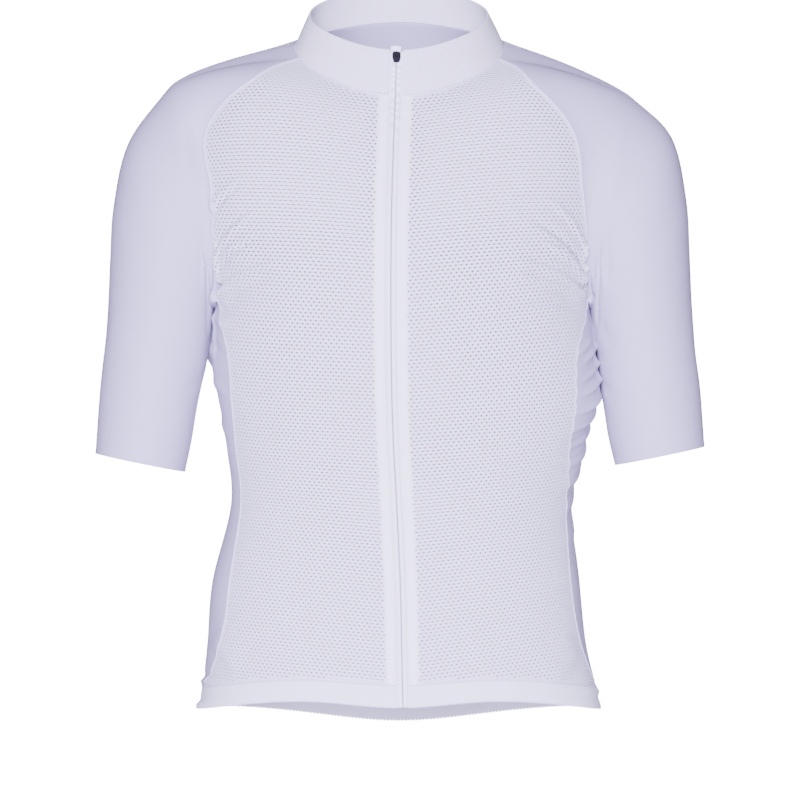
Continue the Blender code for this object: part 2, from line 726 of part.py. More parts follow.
def main():
    for old in list(bpy.data.objects):
        bpy.data.objects.remove(old)
    mesh_knit = material("mesh_knit", (0.83, 0.82, 0.88), 0.75)
    smooth_knit = material("smooth_knit", (0.78, 0.77, 0.84), 0.55)
    collar_knit = material("collar_knit", (0.82, 0.82, 0.88), 0.7)
    elastic = material("elastic", (0.8, 0.8, 0.88), 0.6)
    tape = material("zip_tape", (0.88, 0.88, 0.92), 0.6)
    black_metal = material("black_metal", (0.03, 0.03, 0.035), 0.35, 0.6)
    for side in ("left", "right"):
        build_front(side, mesh_knit)
        build_side_panel(side, smooth_knit)
        build_sleeve(side, smooth_knit)
        build_zip_tape(side, tape)
    build_back(smooth_knit)
    build_back_pockets(smooth_knit)
    build_hem_band(elastic)
    build_collar(collar_knit)
    build_zip_garage(tape)
    build_zip_slider(black_metal)
    build_pull_tab(black_metal)


main()
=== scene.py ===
"""Short-sleeved cycling jersey in worn form: its cloth, sewing and zip, and its stage.

Frame: metres, +Z up, the front faces -Y, the garment's own left side is +X.

The body cloth follows one form, a stack of closed sections. A place of the form has an
angle (0 at the front, 90 at the garment's left side, 180 at the back, -90 at its right
side) and a level (0 at the hem, counted up through the sections). Lengths in the tables
are millimetres.
"""
import json
import math

import bmesh
import bpy
import numpy as np
from bpy.props import FloatProperty, FloatVectorProperty, PointerProperty
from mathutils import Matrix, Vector
from mathutils.bvhtree import BVHTree
from mathutils.geometry import delaunay_2d_cdt

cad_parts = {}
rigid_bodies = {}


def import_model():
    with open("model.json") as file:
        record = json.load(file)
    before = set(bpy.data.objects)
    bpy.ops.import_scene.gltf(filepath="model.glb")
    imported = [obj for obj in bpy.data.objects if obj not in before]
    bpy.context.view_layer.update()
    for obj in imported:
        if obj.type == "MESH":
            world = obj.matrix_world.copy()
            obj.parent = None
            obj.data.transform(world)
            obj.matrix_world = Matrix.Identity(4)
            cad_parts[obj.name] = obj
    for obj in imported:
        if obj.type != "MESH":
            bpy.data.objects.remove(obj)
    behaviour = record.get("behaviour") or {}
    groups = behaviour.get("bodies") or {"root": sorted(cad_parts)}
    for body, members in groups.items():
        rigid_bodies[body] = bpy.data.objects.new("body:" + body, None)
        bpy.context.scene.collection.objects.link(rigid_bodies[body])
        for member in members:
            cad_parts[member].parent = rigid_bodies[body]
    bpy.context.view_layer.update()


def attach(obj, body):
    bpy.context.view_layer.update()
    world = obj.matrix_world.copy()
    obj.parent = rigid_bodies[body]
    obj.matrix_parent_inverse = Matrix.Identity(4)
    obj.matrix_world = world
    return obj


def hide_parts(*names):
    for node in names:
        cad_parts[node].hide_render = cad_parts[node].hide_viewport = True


bl_info = {
    "name": "Cycling Jersey",
    "version": (1, 0, 0),
    "blender": (4, 5, 0),
    "location": "3D View > Sidebar > Jersey",
    "description": "Dresses the solids of a cycling jersey with cloth, sewing and a zip",
    "category": "Object",
}

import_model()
MM = 0.001

# ---- walls and seams -----------------------------------------------------------------
CLOTH = 1.0                  # wall of the body and sleeve cloth
COLLAR_WALL = 1.6            # two layers, folded at the top
BAND_WALL = 1.4              # elastic gripper band at the hem
POCKET_LIFT = 1.5            # the pockets lie this far off the back
SEAM_GAP = 0.1               # between the edges of neighbouring pieces
FACING = 8.5                 # width of the fronts' unpierced edge beside the zip
ZIP_OPEN_HALF = 5.7          # half width of tape that shows between the fronts
TAPE_WIDTH = 14.4            # each tape, from the middle of the zip
TAPE_END_LEVELS = 0.06       # the tapes stop this much of a level below the collar's top
GARAGE_LEVELS = 0.08         # the flap over the zip's top end starts so far below the top
GARAGE_RISE = 3.0            # and stands so far above it
GARAGE_WALL = 1.2
TAPE_WALL = 0.9
TAPE_ROWS = 260
PUCKER_LEVEL = 11.2          # the tapes pucker more from here to a level higher
COIL_ROWS = 240
COIL_DEPTH = 2.4             # middle of the teeth, below the face of the cloth
COIL_TOOTH = (0.8, 3.0, 1.0)         # along the zip, across it and deep
PICOT, PICOT_PITCH = (3.0, 2.2, 1.3), 3.2    # loops along the edge of the hem
POCKET_LEVEL = 4             # the pocket mouths lie at the waist section
SIDES = ("left", "right")

# ---- the body form: one row for each section, from the hem up to the neck seam -------
SECTION_COLUMNS = ("name", "z_front", "z_side", "z_back", "power", "wave",
                   "right", "left", "front", "back", "middle", "square",
                   "seam_right", "seam_left", "seam_back")
SECTIONS = (
    ("hem",         -582, -589, -612, 2.0, 4.0, 178.0, 177.0, 112, 106,  0, 2.3, 83, 87, 112),
    ("band_seam",   -564, -571, -594, 2.0, 3.5, 173.8, 172.5, 111, 107,  0, 2.3, 80, 84, 112),
    ("seat",        -527, -534, -547, 2.0, 1.5, 169.4, 163.5, 109, 104,  0, 2.3, 71, 77, 112),
    ("hip",         -477, -482, -488, 2.0, 0.0, 165.0, 158.0, 106,  95,  0, 2.3, 69, 74, 112),
    ("waist",       -410, -415, -420, 2.0, 0.0, 148.8, 151.6, 103,  83,  0, 2.3, 72, 75, 112),
    ("lower_rib",   -363, -367, -368, 2.0, 0.0, 152.2, 161.5, 107,  86,  0, 2.3, 73, 70, 112),
    ("rib",         -320, -323, -322, 2.0, 0.0, 159.7, 174.5, 113,  93,  0, 2.3, 71, 66, 111),
    ("under_arm",   -277, -279, -277, 2.0, 0.0, 165.2, 171.0, 119, 100,  0, 2.3, 69, 68, 109),
    ("armhole",     -233, -236, -232, 2.0, 0.0, 163.4, 166.5, 122, 106,  0, 2.3, 77, 79, 106),
    ("chest",       -190, -190, -181, 2.0, 0.0, 176.0, 176.0, 121, 110,  0, 2.2, 72, 72, 108),
    ("shoulder",    -152, -142, -130, 2.0, 0.0, 187.0, 184.0, 115, 109,  0, 2.2, 69, 68, 110),
    ("yoke",        -118,  -84,  -78, 1.7, 0.0, 186.0, 182.0, 105, 103,  0, 2.2, 73, 67, 112),
    ("collarbone",  -88,   -18,  -20, 1.1, 0.0, 152.0, 148.0,  93,  89, -2, 2.2, 66, 62, 118),
    ("neck",        -60,   -12,   15, 1.0, 0.0,  92.5,  91.5,  80,  66, -7, 2.1, 74, 73, 130),
)
BAND_SEAM = 1
ARMHOLE = 8
NECK = len(SECTIONS) - 1
COLLAR_SECTIONS = (
    SECTIONS[NECK],
    ("stand",       -40,     2,   30, 1.0, 0.0,  86.0,  84.5,  74,  61, -6, 2.1, 74, 73, 130),
    ("fold",        -20,    17,   47, 1.0, 0.0,  79.5,  77.5,  68,  56, -6, 2.1, 74, 73, 130),
)
COLLAR_TOP = NECK + len(COLLAR_SECTIONS) - 1
ZIP_X = (2.6, 2.2, 1.4, 0.2, -3.0, -5.5, -7.0, -7.6, -7.8, -7.6, -7.0, -6.0, -5.0, -3.9)
ZIP_X_COLLAR = (-3.9, -3.4, -3.0)

# ---- the arm: one row for each ring, from the shoulder cap to the cuff ---------------
ARM_COLUMNS = ("name", "outer_x", "outer_z", "inner_x", "inner_z", "front", "back",
               "outer_lift", "inner_lift", "inner_side")
ARM_RINGS = (
    ("cap",         203,  -53, 165.9, -241,  62, 64,  0.8,  0.0, 1.7),
    ("deltoid",     238,  -94, 167.4, -257,  61, 61, -0.5,  0.0, 2.0),
    ("upper",       251, -149, 170.7, -277,  57, 57, -0.5,  0.0, 2.0),
    ("middle",      254, -196, 173.7, -296,  53, 54,  0.0,  0.0, 1.7),
    ("lower",       256, -240, 176.6, -312,  50, 52,  0.0,  0.0, 0.7),
    ("slack",       260, -285, 180.2, -332,  48, 50,  0.0,  0.0, 0.3),
    ("biceps",      264, -325, 184.0, -356,  46, 48, -0.3, -0.3, 0.0),
    ("cuff",        267, -367, 190.0, -383,  44, 45, -0.6, -0.6, 0.0),
)
SHOULDER_LIFT = {"right": 5.0, "left": -5.0}   # the right shoulder is carried higher
ALPHA_NECK = 15.0            # arm angle of the raglan's top end
ALPHA_UNDER = 158.0          # arm angle of its lower end
ALPHA_EASE = 1.3
ARMHOLE_DIP = 7.0            # the armhole runs lower in the middle of the side panel

# ---- the largest folds, as on the solids: start and end on the form, width, height ---
BODY_FOLDS = (
    (62, -318, 104, -262, 11, -1.2),      # left side, slanting up to the back
    (64, -345, 106, -290, 10,  1.2),
    (64, -372, 108, -318, 11, -2.2),
    (68, -404, 108, -352, 12,  1.8),
    (-70, -272, -104, -254, 11, -1.8),    # right side, below the arm
    (-72, -304, -108, -290, 12, 1.8),
    (44, -205,  72, -238, 10, -2.2),      # fronts drawn into the armpits
    (50, -172,  67, -200,  9,  1.4),
    (-46, -208, -72, -236, 10, -2.2),
    (-52, -176, -68, -202,  9,  1.4),
    (52, -560,  74, -528, 12,  2.0),      # corners of the hem
    (-58, -552, -76, -520, 12, 2.0),
    (118, -300, 150, -270, 14, -2.0),     # back, from the armholes inwards
    (-118, -304, -148, -278, 14, -2.0),
    (128, -420, 232, -424, 15,  2.4),     # across the small of the back
    (138, -392, 222, -388, 14, -2.0),
)
# ---- finer creases: start, end, sideways bow at the middle, width, height ------------
BODY_CREASES = (
    (70, -290,  94, -266,  2, 2.6,  2.3),     # left side panel
    (67, -307,  95, -278,  3, 2.6,  2.5),
    (66, -321,  97, -290,  3, 2.6,  2.5),
    (65, -336,  99, -304,  4, 2.6,  2.4),
    (66, -351, 100, -321,  4, 2.6,  2.2),
    (67, -366, 101, -337,  4, 2.7,  1.9),
    (68, -381, 102, -352,  5, 3.5,  1.6),
    (69, -399, 103, -369,  5, 4.0,  1.4),
    (70, -420, 104, -388,  5, 5.0,  1.2),
    (72, -446, 102, -415,  5, 6.0,  0.9),
    (66, -329,  84, -309,  2, 1.6,  0.6),
    (66, -359,  86, -341,  3, 1.6,  0.6),
    (68, -374,  90, -354,  3, 1.8,  0.6),
    (69, -391,  88, -374,  3, 2.0,  0.5),
    (66, -283,  80, -268,  2, 3.0,  1.6),
    (84, -322,  87, -238,  0, 4.0,  2.8),     # lip, hollow and fullness at the left arm
    (90, -326,  91, -238,  0, 5.0, -5.5),
    (97, -334,  98, -238,  0, 9.0,  8.0),
    (-83, -238, -80, -294, 0, 4.0,  2.6),     # the same at the right arm
    (-88, -238, -87, -290, 0, 5.0, -5.5),
    (-95, -238, -95, -298, 0, 9.0,  8.0),
    (-66, -262, -96, -248, 3, 4.0,  1.6),     # right side panel
    (-68, -286, -102, -268, 4, 4.5, -1.4),
    (-70, -320, -96, -306, 3, 5.0,  1.3),
    (-67, -247, -86, -239, 2, 3.0, -1.2),
    (-74, -354, -104, -343, 4, 6.0, 1.1),
    (52, -146,  77, -212, -6, 2.6,  2.2),     # left front, into the armpit
    (46, -166,  77, -221, -6, 2.3, -2.9),
    (47, -182,  77, -226, -5, 2.3,  2.6),
    (43, -199,  77, -231, -5, 2.4, -2.5),
    (40, -218,  76, -237, -4, 2.8,  2.1),
    (45, -241,  74, -246, -3, 3.2, -1.8),
    (71, -178,  78, -237,  0, 2.5, -6.5),
    (71, -203,  80, -209,  0, 2.2, -7.0),     # pinches at the left armpit
    (71, -223,  80, -230,  0, 2.2, -6.0),
    (-56, -134, -74, -176, 4, 2.3, -2.8),     # right front, into the armpit
    (-50, -158, -77, -216, 6, 2.4,  2.3),
    (-48, -180, -77, -222, 5, 2.4, -2.4),
    (-42, -204, -76, -231, 4, 2.6,  2.0),
    (-44, -236, -75, -242, 3, 3.2, -1.7),
    (-77, -237, -71, -174, 0, 2.5, -6.5),
    (-80, -229, -71, -222, 0, 2.2, -7.0),     # and at the right one
    (-66, -430, -30, -452, 6, 9.0,  0.6),     # fronts, over the waist
    (62, -437,  28, -463, -6, 9.0,  0.6),
    (-60, -501, -24, -520, 5, 10.,  0.5),
    (56, -566,  76, -535,  3, 6.0,  1.1),     # hem corners
    (-60, -562, -80, -529, 3, 6.0,  1.1),
    (40, -575,  53, -556,  2, 7.0,  0.6),
    (-64, -566, -112, -578, 2, 3.0, 2.2),
    (-70, -588, -110, -597, 1, 3.0, 2.0),
    (66, -574, 112, -580,  2, 3.0,  1.8),
    (112, -250, 146, -222,  5, 6.0, -1.2),    # back
    (-112, -255, -146, -229, -5, 6.5, -1.1),
    (120, -331, 160, -312,  6, 8.0,  0.9),
    (-118, -337, -158, -319, -6, 8.0, 0.8),
    (125, -375, 165, -362,  4, 7.0, -0.9),
    (198, -366, 236, -380,  4, 7.0,  0.9),
    (135, -447, 176, -440,  5, 7.0,  1.2),
    (184, -443, 228, -452,  5, 7.0, -1.0),
    (150, -520, 205, -514, -4, 9.0,  0.7),
    (131, -120, 150, -182,  4, 9.0,  0.7),
)
# On a sleeve: arm angle and share of the way to the cuff at both ends, bow, width, height
SLEEVE_CREASES = {
    "left": ((110, .25, 136, .39, 3, 2.9, -2.0), (124, .22, 149, .36, 2, 2.6, -1.9),
             (98, .29, 120, .41, 3, 3.4, -1.4), (138, .30, 156, .45, 2, 3.0, 1.7),
             (150, .42, 128, .60, 4, 6.0, 1.1), (-150, .45, -104, .62, 4, 8.0, 1.4),
             (-158, .56, -118, .72, 3, 7.0, -1.1), (172, .62, 138, .78, 3, 6.0, 0.8),
             (24, .74, -34, .83, 5, 13., 0.6)),
    "right": ((118, .25, 141, .37, 2, 3.0, -1.6), (134, .22, 153, .35, 2, 2.8, -1.8),
              (146, .32, 160, .48, 2, 5.0, 1.0),
              (-152, .43, -108, .60, 4, 8.0, 1.3), (-160, .58, -120, .70, 3, 7.0, -1.0),
              (168, .64, 132, .76, 3, 7.0, 0.7), (30, .70, -28, .80, 5, 13., 0.5)),
}
SLEEVE_LENGTH = 330.0        # along a sleeve, as its creases count it
CAP_SHARE = 0.3              # share of that length above the first arm ring
UNDERARM_GROOVE = 4.5        # depth of the groove beside the lower end of the raglan seam
SEAM_TUCK = 3.0              # and of the narrow tuck at the seam itself
# Zip tape across: distance from the middle, and how deep it lies under the cloth's face
TAPE_PROFILE = ((0.3, 1.8), (0.5, 0.9), (0.95, 0.4), (2.1, 0.25), (3.2, 0.35), (3.8, 0.6),
                (4.2, 1.3), (4.9, 1.8), (6.5, 1.9), (9.0, 1.9), (TAPE_WIDTH, 1.9))


# ---- what a user would change --------------------------------------------------------
def colour(name, text, value):
    return FloatVectorProperty(name=name, description=text, subtype="COLOR", size=3,
                               min=0.0, max=1.0, default=value)


def millimetres(name, text, value, low, high):
    """A length, given in millimetres."""
    return FloatProperty(name=name, description=text, unit="LENGTH", default=value * MM,
                         min=low * MM, max=high * MM)


def watts(name, text, value):
    return FloatProperty(name=name, description=text, subtype="POWER", default=value, min=0.0)


def amount(name, text, value, high):
    return FloatProperty(name=name, description=text, default=value, min=0.0, max=high)


class JerseyCloth(bpy.types.PropertyGroup):
    mesh_colour: colour("Mesh", "Colour of the perforated fronts", (0.80, 0.78, 0.82))
    smooth_colour: colour("Smooth knit", "Colour of the sleeves, sides and back",
                          (0.505, 0.483, 0.575))
    collar_colour: colour("Collar", "Colour of the collar", (0.93, 0.92, 0.93))
    band_colour: colour("Hem band", "Colour of the elastic hem band", (0.84, 0.85, 0.87))
    hole_width: millimetres("Hole width", "Across one hole of the mesh", 1.8, 0.4, 2.4)
    hole_pitch: millimetres("Hole pitch", "Between holes along a row", 4.6, 3, 10)
    row_pitch: millimetres("Row pitch", "Between rows of holes", 3.06, 2, 8)
    crease_depth: amount("Crease depth", "Share of the creases' height", 1.0, 1.5)


class JerseySewing(bpy.types.PropertyGroup):
    thread_colour: colour("Thread", "Colour of the sewing thread", (0.72, 0.71, 0.78))
    thread_width: millimetres("Thread width", "Width of one stitch", 0.45, 0.1, 1)
    stitch_pitch: millimetres("Stitch pitch", "From stitch to stitch", 2.4, 1, 6)
    seam_width: millimetres("Seam width", "Width of a flat seam", 2.6, 1, 6)


class JerseyZip(bpy.types.PropertyGroup):
    tape_colour: colour("Tape", "Colour of the zip tapes", (0.92, 0.92, 0.93))
    metal_colour: colour("Slider", "Colour of the slider and its tab", (0.006, 0.006, 0.007))
    coil_pitch: millimetres("Coil pitch", "Between teeth of one side", 1.5, 0.8, 3)


class JerseyStage(bpy.types.PropertyGroup):
    floor_colour: colour("Floor", "Colour of the floor", (0.86, 0.86, 0.87))
    key_power: watts("Key light", "Power of the front light", 460.0)
    fill_power: watts("Fill light", "Power of the second light", 138.0)
    back_power: watts("Back light", "Power of the light on the back", 480.0)
    light_colour: colour("Light", "Colour of the lights", (0.66, 0.61, 1.0))
    surround: amount("Surround", "Brightness of the surroundings", 0.16, 20.0)
    surround_colour: colour("Surround colour", "Colour of the surroundings", (1.0, 0.93, 0.93))
    backdrop: amount("Backdrop", "Brightness seen behind the jersey", 17.0, 40.0)


# ---- the form ------------------------------------------------------------------------
NEAR = 0.04                  # levels over which the form's slope is taken
MEAN_REACH = 165.0           # half width at which a fold's angles are made lengths
TAPER = 0.3                  # share of a fold's length over which each end fades
BANK_HEIGHT, BANK_PLACE, BANK_WIDTH = 0.45, 1.7, 1.2    # of a crease, in its own measures
ZIP_ROUNDS = 5               # steps that find the angle of a place beside the zip


def table(rows, names):
    return {name: np.array([row[place] for row in rows], float)
            for place, name in enumerate(names) if place}


BODY_TABLE = table(SECTIONS, SECTION_COLUMNS)
COLLAR_TABLE = table(COLLAR_SECTIONS, SECTION_COLUMNS)
ARM_TABLE = table(ARM_RINGS, ARM_COLUMNS)


def spline(values, at):
    """Smooth value between evenly spaced table rows (Catmull-Rom)."""
    values = np.asarray(values, float)
    at = np.asarray(at, float)
    ends = ([2 * values[0] - values[1]], values, [2 * values[-1] - values[-2]])
    padded = np.concatenate(ends)
    start = np.clip(np.floor(at).astype(int), 0, len(values) - 2)
    t = at - start
    p0, p1, p2, p3 = (padded[start + step] for step in range(4))
    return 0.5 * (2 * p1 + (p2 - p0) * t + (2 * p0 - 5 * p1 + 4 * p2 - p3) * t * t
                  + (3 * p1 - p0 - 3 * p2 + p3) * t ** 3)


def up_the_body(body, collar, level):
    """Smooth value at a level, from the tables of the body and of the collar."""
    level = np.asarray(level, float)
    return np.where(level <= NECK, spline(body, np.minimum(level, NECK)),
                    spline(collar, np.maximum(level - NECK, 0)))


def section(level, name):
    return up_the_body(BODY_TABLE[name], COLLAR_TABLE[name], level)


def zip_x(level):
    return up_the_body(ZIP_X, ZIP_X_COLLAR, level)


def smooth_step(value):
    value = np.clip(value, 0.0, 1.0)
    return value * value * (3 - 2 * value)


def half_turns(angle):
    """The same angle, between -180 and 180 degrees."""
    return (angle + 180.0) % 360.0 - 180.0


def bell(value, middle, width):
    return np.exp(-((value - middle) / width) ** 2)


def smooth_form(angle, level):
    """Points of the form, in millimetres, without folds."""
    right, left = section(level, "right"), section(level, "left")
    middle, square = section(level, "middle"), section(level, "square")
    turn = np.radians(angle)
    sine, cosine = np.sin(turn), np.cos(turn)
    half_width = 0.5 * (left + right)
    ahead = cosine >= 0
    half_depth = np.where(ahead, section(level, "front") + middle,
                          section(level, "back") - middle)
    z_end = np.where(ahead, section(level, "z_front"), section(level, "z_back"))
    radius = (np.abs(sine / half_width) ** square
              + np.abs(cosine / half_depth) ** square) ** (-1.0 / square)
    z_side = section(level, "z_side")
    z = z_side + (z_end - z_side) * np.abs(cosine) ** section(level, "power")
    z = z - section(level, "wave") * np.where(ahead, np.cos(4 * turn), sine * sine)
    return np.stack((0.5 * (left - right) + radius * sine, middle - radius * cosine, z), -1)


def unit(vectors):
    return vectors / np.maximum(np.linalg.norm(vectors, axis=-1, keepdims=True), 1e-9)


def one_degree(angle, level):
    """The way round the form over one degree."""
    return smooth_form(angle + 0.5, level) - smooth_form(angle - 0.5, level)


def form_normal(angle, level):
    level = np.asarray(level, float)
    low = np.where(level <= NECK, np.maximum(level - NEAR, 0), np.maximum(level - NEAR, NECK))
    high = np.where(level <= NECK, np.minimum(level + NEAR, NECK),
                    np.minimum(level + NEAR, COLLAR_TOP))
    return unit(np.cross(one_degree(angle, level),
                         smooth_form(angle, high) - smooth_form(angle, low)))


def ridge(start, end, place, bow, width, height, sharp):
    """Height of one fold over places (x, y), from its start to its end.

    A sharp one is a crease, with a low bank of the other sign on one side.
    """
    run = end - start
    length = math.hypot(*run)
    offset = place - 0.5 * (start + end)
    along = (offset[..., 0] * run[0] + offset[..., 1] * run[1]) / length
    across = (offset[..., 0] * run[1] - offset[..., 1] * run[0]) / length
    across = across - bow * (1 - (2 * along / length) ** 2)
    taper = smooth_step((0.5 * length - np.abs(along)) / (TAPER * length))
    shape = bell(across, 0.0, width)
    if sharp:
        shape = shape - BANK_HEIGHT * bell(across, BANK_PLACE * width, BANK_WIDTH * width)
    return height * taper * shape


def fold_height(angle, level, z, crease_depth):
    """Sum of the folds and creases, as distances along the normals."""
    reach = 0.5 * (section(level, "left") + section(level, "right"))
    total = np.zeros(np.broadcast(angle, level).shape)
    below = level < ARMHOLE + 1
    for rows, sharp in ((BODY_FOLDS, False), (BODY_CREASES, True)):
        for row in rows:
            angle_1, z_1, angle_2, z_2 = row[:4]
            bow = row[4] if sharp else 0.0
            middle = 0.5 * (angle_1 + angle_2)
            place = np.stack((np.radians(half_turns(angle - middle)) * reach, z), -1)
            half = math.radians(0.5 * (angle_2 - angle_1)) * MEAN_REACH
            height = ridge(np.array((-half, z_1)), np.array((half, z_2)), place, bow,
                           row[-2], row[-1], sharp)
            total = total + (height * crease_depth if sharp else height * below)
    return total


def form(angle, level, crease_depth=1.0):
    """Points of the form with its folds, in millimetres, and their outward normals."""
    angle, level = np.broadcast_arrays(np.asarray(angle, float), np.asarray(level, float))
    points = smooth_form(angle, level)
    normals = form_normal(angle, level)
    rise = fold_height(angle, level, points[..., 2], crease_depth) * (level <= NECK)
    return points + normals * rise[..., None], normals


def zip_angle(side, offset, level):
    """Angle of the place that lies an offset to one side of the zip's middle."""
    level = np.asarray(level, float)
    x = zip_x(level) + (offset if side == "left" else -offset)
    middle_x = 0.5 * (section(level, "left") - section(level, "right"))
    angle = np.zeros(level.shape)
    for _ in range(ZIP_ROUNDS):
        point = smooth_form(angle, level)
        radius = np.hypot(point[..., 0] - middle_x, point[..., 1] - section(level, "middle"))
        angle = np.degrees(np.arcsin((x - middle_x) / radius))
    return angle


def front_seam(side, level):
    return section(level, "seam_left") if side == "left" else -section(level, "seam_right")


def back_seam(side, level):
    angle = section(level, "seam_back")
    return angle if side == "left" else -angle


def arc_step(angle, level, distance):
    """Degrees that make the given distance around the form."""
    return distance / np.linalg.norm(one_degree(angle, level), axis=-1)


def level_step(angle, level, distance):
    """Levels that make the given distance up the form."""
    half = NEAR / 2
    near = np.clip(level, half, COLLAR_TOP - half)
    up = smooth_form(angle, near + half) - smooth_form(angle, near - half)
    return NEAR * distance / np.linalg.norm(up, axis=-1)


def armhole_level(angle, side):
    """Level of the armhole's edge over the side panel."""
    low, high = sorted((float(front_seam(side, ARMHOLE)), float(back_seam(side, ARMHOLE))))
    share = np.clip((angle - low) / (high - low), 0.0, 1.0)
    return ARMHOLE - level_step(angle, float(ARMHOLE),
                                ARMHOLE_DIP * np.sin(np.pi * share) ** 1.5)


# ---- cloth as meshes -----------------------------------------------------------------
SHARP_EDGE = math.radians(40)        # faces meet in a sharp edge past this angle
CUT_EDGE = math.radians(55)          # and the wall's cut edges are rounded past this one
ROUNDING = 0.3                       # by this share of the wall


def grid_faces(rows, columns, closed=False):
    row, place = np.mgrid[0:rows - 1, 0:columns if closed else columns - 1]
    ahead = (place + 1) % columns
    corners = (row * columns + place, row * columns + ahead,
               (row + 1) * columns + ahead, (row + 1) * columns + place)
    return np.stack([item.ravel() for item in corners], -1)


def mesh_object(name, points, faces, finish):
    """Object of millimetre points."""
    mesh = bpy.data.meshes.new(name)
    mesh.from_pydata((np.asarray(points) * MM).tolist(), [],
                     faces if isinstance(faces, list) else faces.tolist())
    mesh.materials.append(finish)
    return link_object(name, mesh)


def link_object(name, data):
    made = bpy.data.objects.new(name, data)
    bpy.context.scene.collection.objects.link(made)
    return made


def loop_vertices(mesh):
    loops = np.zeros(len(mesh.loops), int)
    mesh.loops.foreach_get("vertex_index", loops)
    return loops


def store_cut(mesh, places):
    """Keeps the places of the faces' corners on the cut piece as the UV map "cut"."""
    layer = mesh.uv_layers.get("cut") or mesh.uv_layers.new(name="cut")
    layer.uv.foreach_set("vector", places.ravel().astype(np.float32))


def cloth_area(mesh):
    return sum(face.area for face in mesh.polygons) / MM ** 2


def finish_shading(mesh):
    mesh.shade_smooth()
    mesh.set_sharp_from_angle(angle=SHARP_EDGE)


def flatten(piece, rows, columns, closed=False, creased=None):
    """Lays a grid of cloth flat. Its UV map "cut" holds the cut piece in millimetres.

    Where creased points are given, they take the place of the flattened ones afterwards.
    """
    mesh = piece.data
    seam = {(row * columns, (row + 1) * columns) for row in range(rows - 1)} if closed else ()
    for edge in mesh.edges:
        edge.use_seam = tuple(sorted(edge.vertices)) in seam
    mesh.uv_layers.new(name="cut")
    for other in bpy.context.selected_objects:
        other.select_set(False)
    bpy.context.view_layer.objects.active = piece
    piece.select_set(True)
    bpy.ops.object.mode_set(mode="EDIT")
    bpy.ops.mesh.select_all(action="SELECT")
    bpy.ops.uv.unwrap(method="ANGLE_BASED", margin=0.0)
    bpy.ops.object.mode_set(mode="OBJECT")
    piece.select_set(False)
    if creased is not None:
        mesh.vertices.foreach_set("co", (creased * MM).ravel())
        mesh.update()
    flat = np.zeros(len(mesh.loops) * 2)
    mesh.uv_layers["cut"].uv.foreach_get("vector", flat)
    flat = flat.reshape(-1, 2)
    loops = loop_vertices(mesh)
    quads = flat.reshape(-1, 4, 2)
    first, second = quads[:, 2] - quads[:, 0], quads[:, 3] - quads[:, 1]
    flat_area = 0.5 * np.abs(first[:, 0] * second[:, 1] - first[:, 1] * second[:, 0]).sum()
    area = cloth_area(mesh)
    flat *= math.sqrt(area / flat_area)
    low = flat[np.isin(loops, np.arange(columns))].mean(0)
    high = flat[np.isin(loops, np.arange((rows - 1) * columns, rows * columns))].mean(0)
    up = (high - low) / np.linalg.norm(high - low)
    flat = flat @ np.array(((up[1], up[0]), (-up[0], up[1])))
    flat -= flat.min(0)
    store_cut(mesh, flat)
    each = np.zeros((len(mesh.vertices), 2))
    each[loops] = flat
    return each, flat.max(0), area


def lay_straight(piece, grid):
    """Lays a strip out straight. Its UV map "cut" holds lengths along and across it."""
    def lengths(axis):
        steps = np.linalg.norm(np.diff(grid, axis=axis), axis=-1).mean(1 - axis)
        return np.concatenate(((0.0,), np.cumsum(steps)))
    across, along = np.meshgrid(lengths(1), lengths(0))
    each = np.stack((across.ravel(), along.ravel()), -1)
    store_cut(piece.data, each[loop_vertices(piece.data)])
    return each.max(0), cloth_area(piece.data)


def cloth_shell(name, grid, wall, finish, closed=False, strip=False, smooth=None):
    """Cloth of one cut piece: a wall under a grid of points, with soft edges.

    A smooth grid, where given, is what is laid flat, because deep creases skew the cut.
    """
    rows, columns = grid.shape[:2]
    start = grid if smooth is None else smooth
    piece = mesh_object(name + "_cloth", start.reshape(-1, 3),
                        grid_faces(rows, columns, closed), finish)
    if strip:
        size, area = lay_straight(piece, grid)
    else:
        creased = None if smooth is None else grid
        _, size, area = flatten(piece, rows, columns, closed, creased)
    thick = piece.modifiers.new("wall", "SOLIDIFY")
    thick.thickness, thick.offset = wall * MM, -1.0
    round_edges(piece, ROUNDING * wall, 2, CUT_EDGE)
    settle(piece)
    return piece, size, area


def round_edges(piece, width, segments, past):
    edge = piece.modifiers.new("edge", "BEVEL")
    edge.width, edge.segments = width * MM, segments
    edge.limit_method, edge.angle_limit = "ANGLE", past


def settle(piece):
    """Turns a piece's modifiers into its plain mesh."""
    graph = bpy.context.evaluated_depsgraph_get()
    mesh = bpy.data.meshes.new_from_object(piece.evaluated_get(graph))
    old = piece.data
    piece.modifiers.clear()
    piece.data = mesh
    mesh.name = piece.name
    bpy.data.meshes.remove(old)
    finish_shading(mesh)


def declare(piece, node, size, area):
    """Attaches a piece of cloth to the garment and hides the solid it stands for."""
    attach(piece, "garment")
    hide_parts(node)
    width, height = (float(side) * MM for side in size)
    min(area * MM * MM, 0.999 * width * height)


def cut_piece(node, slot, grid, wall, finish, rests_on, held="stretched", **laid):
    """Cloth of one cut piece in place of its solid."""
    made, size, area = cloth_shell(node, grid, wall, finish, **laid)
    declare(made, node, size, area)


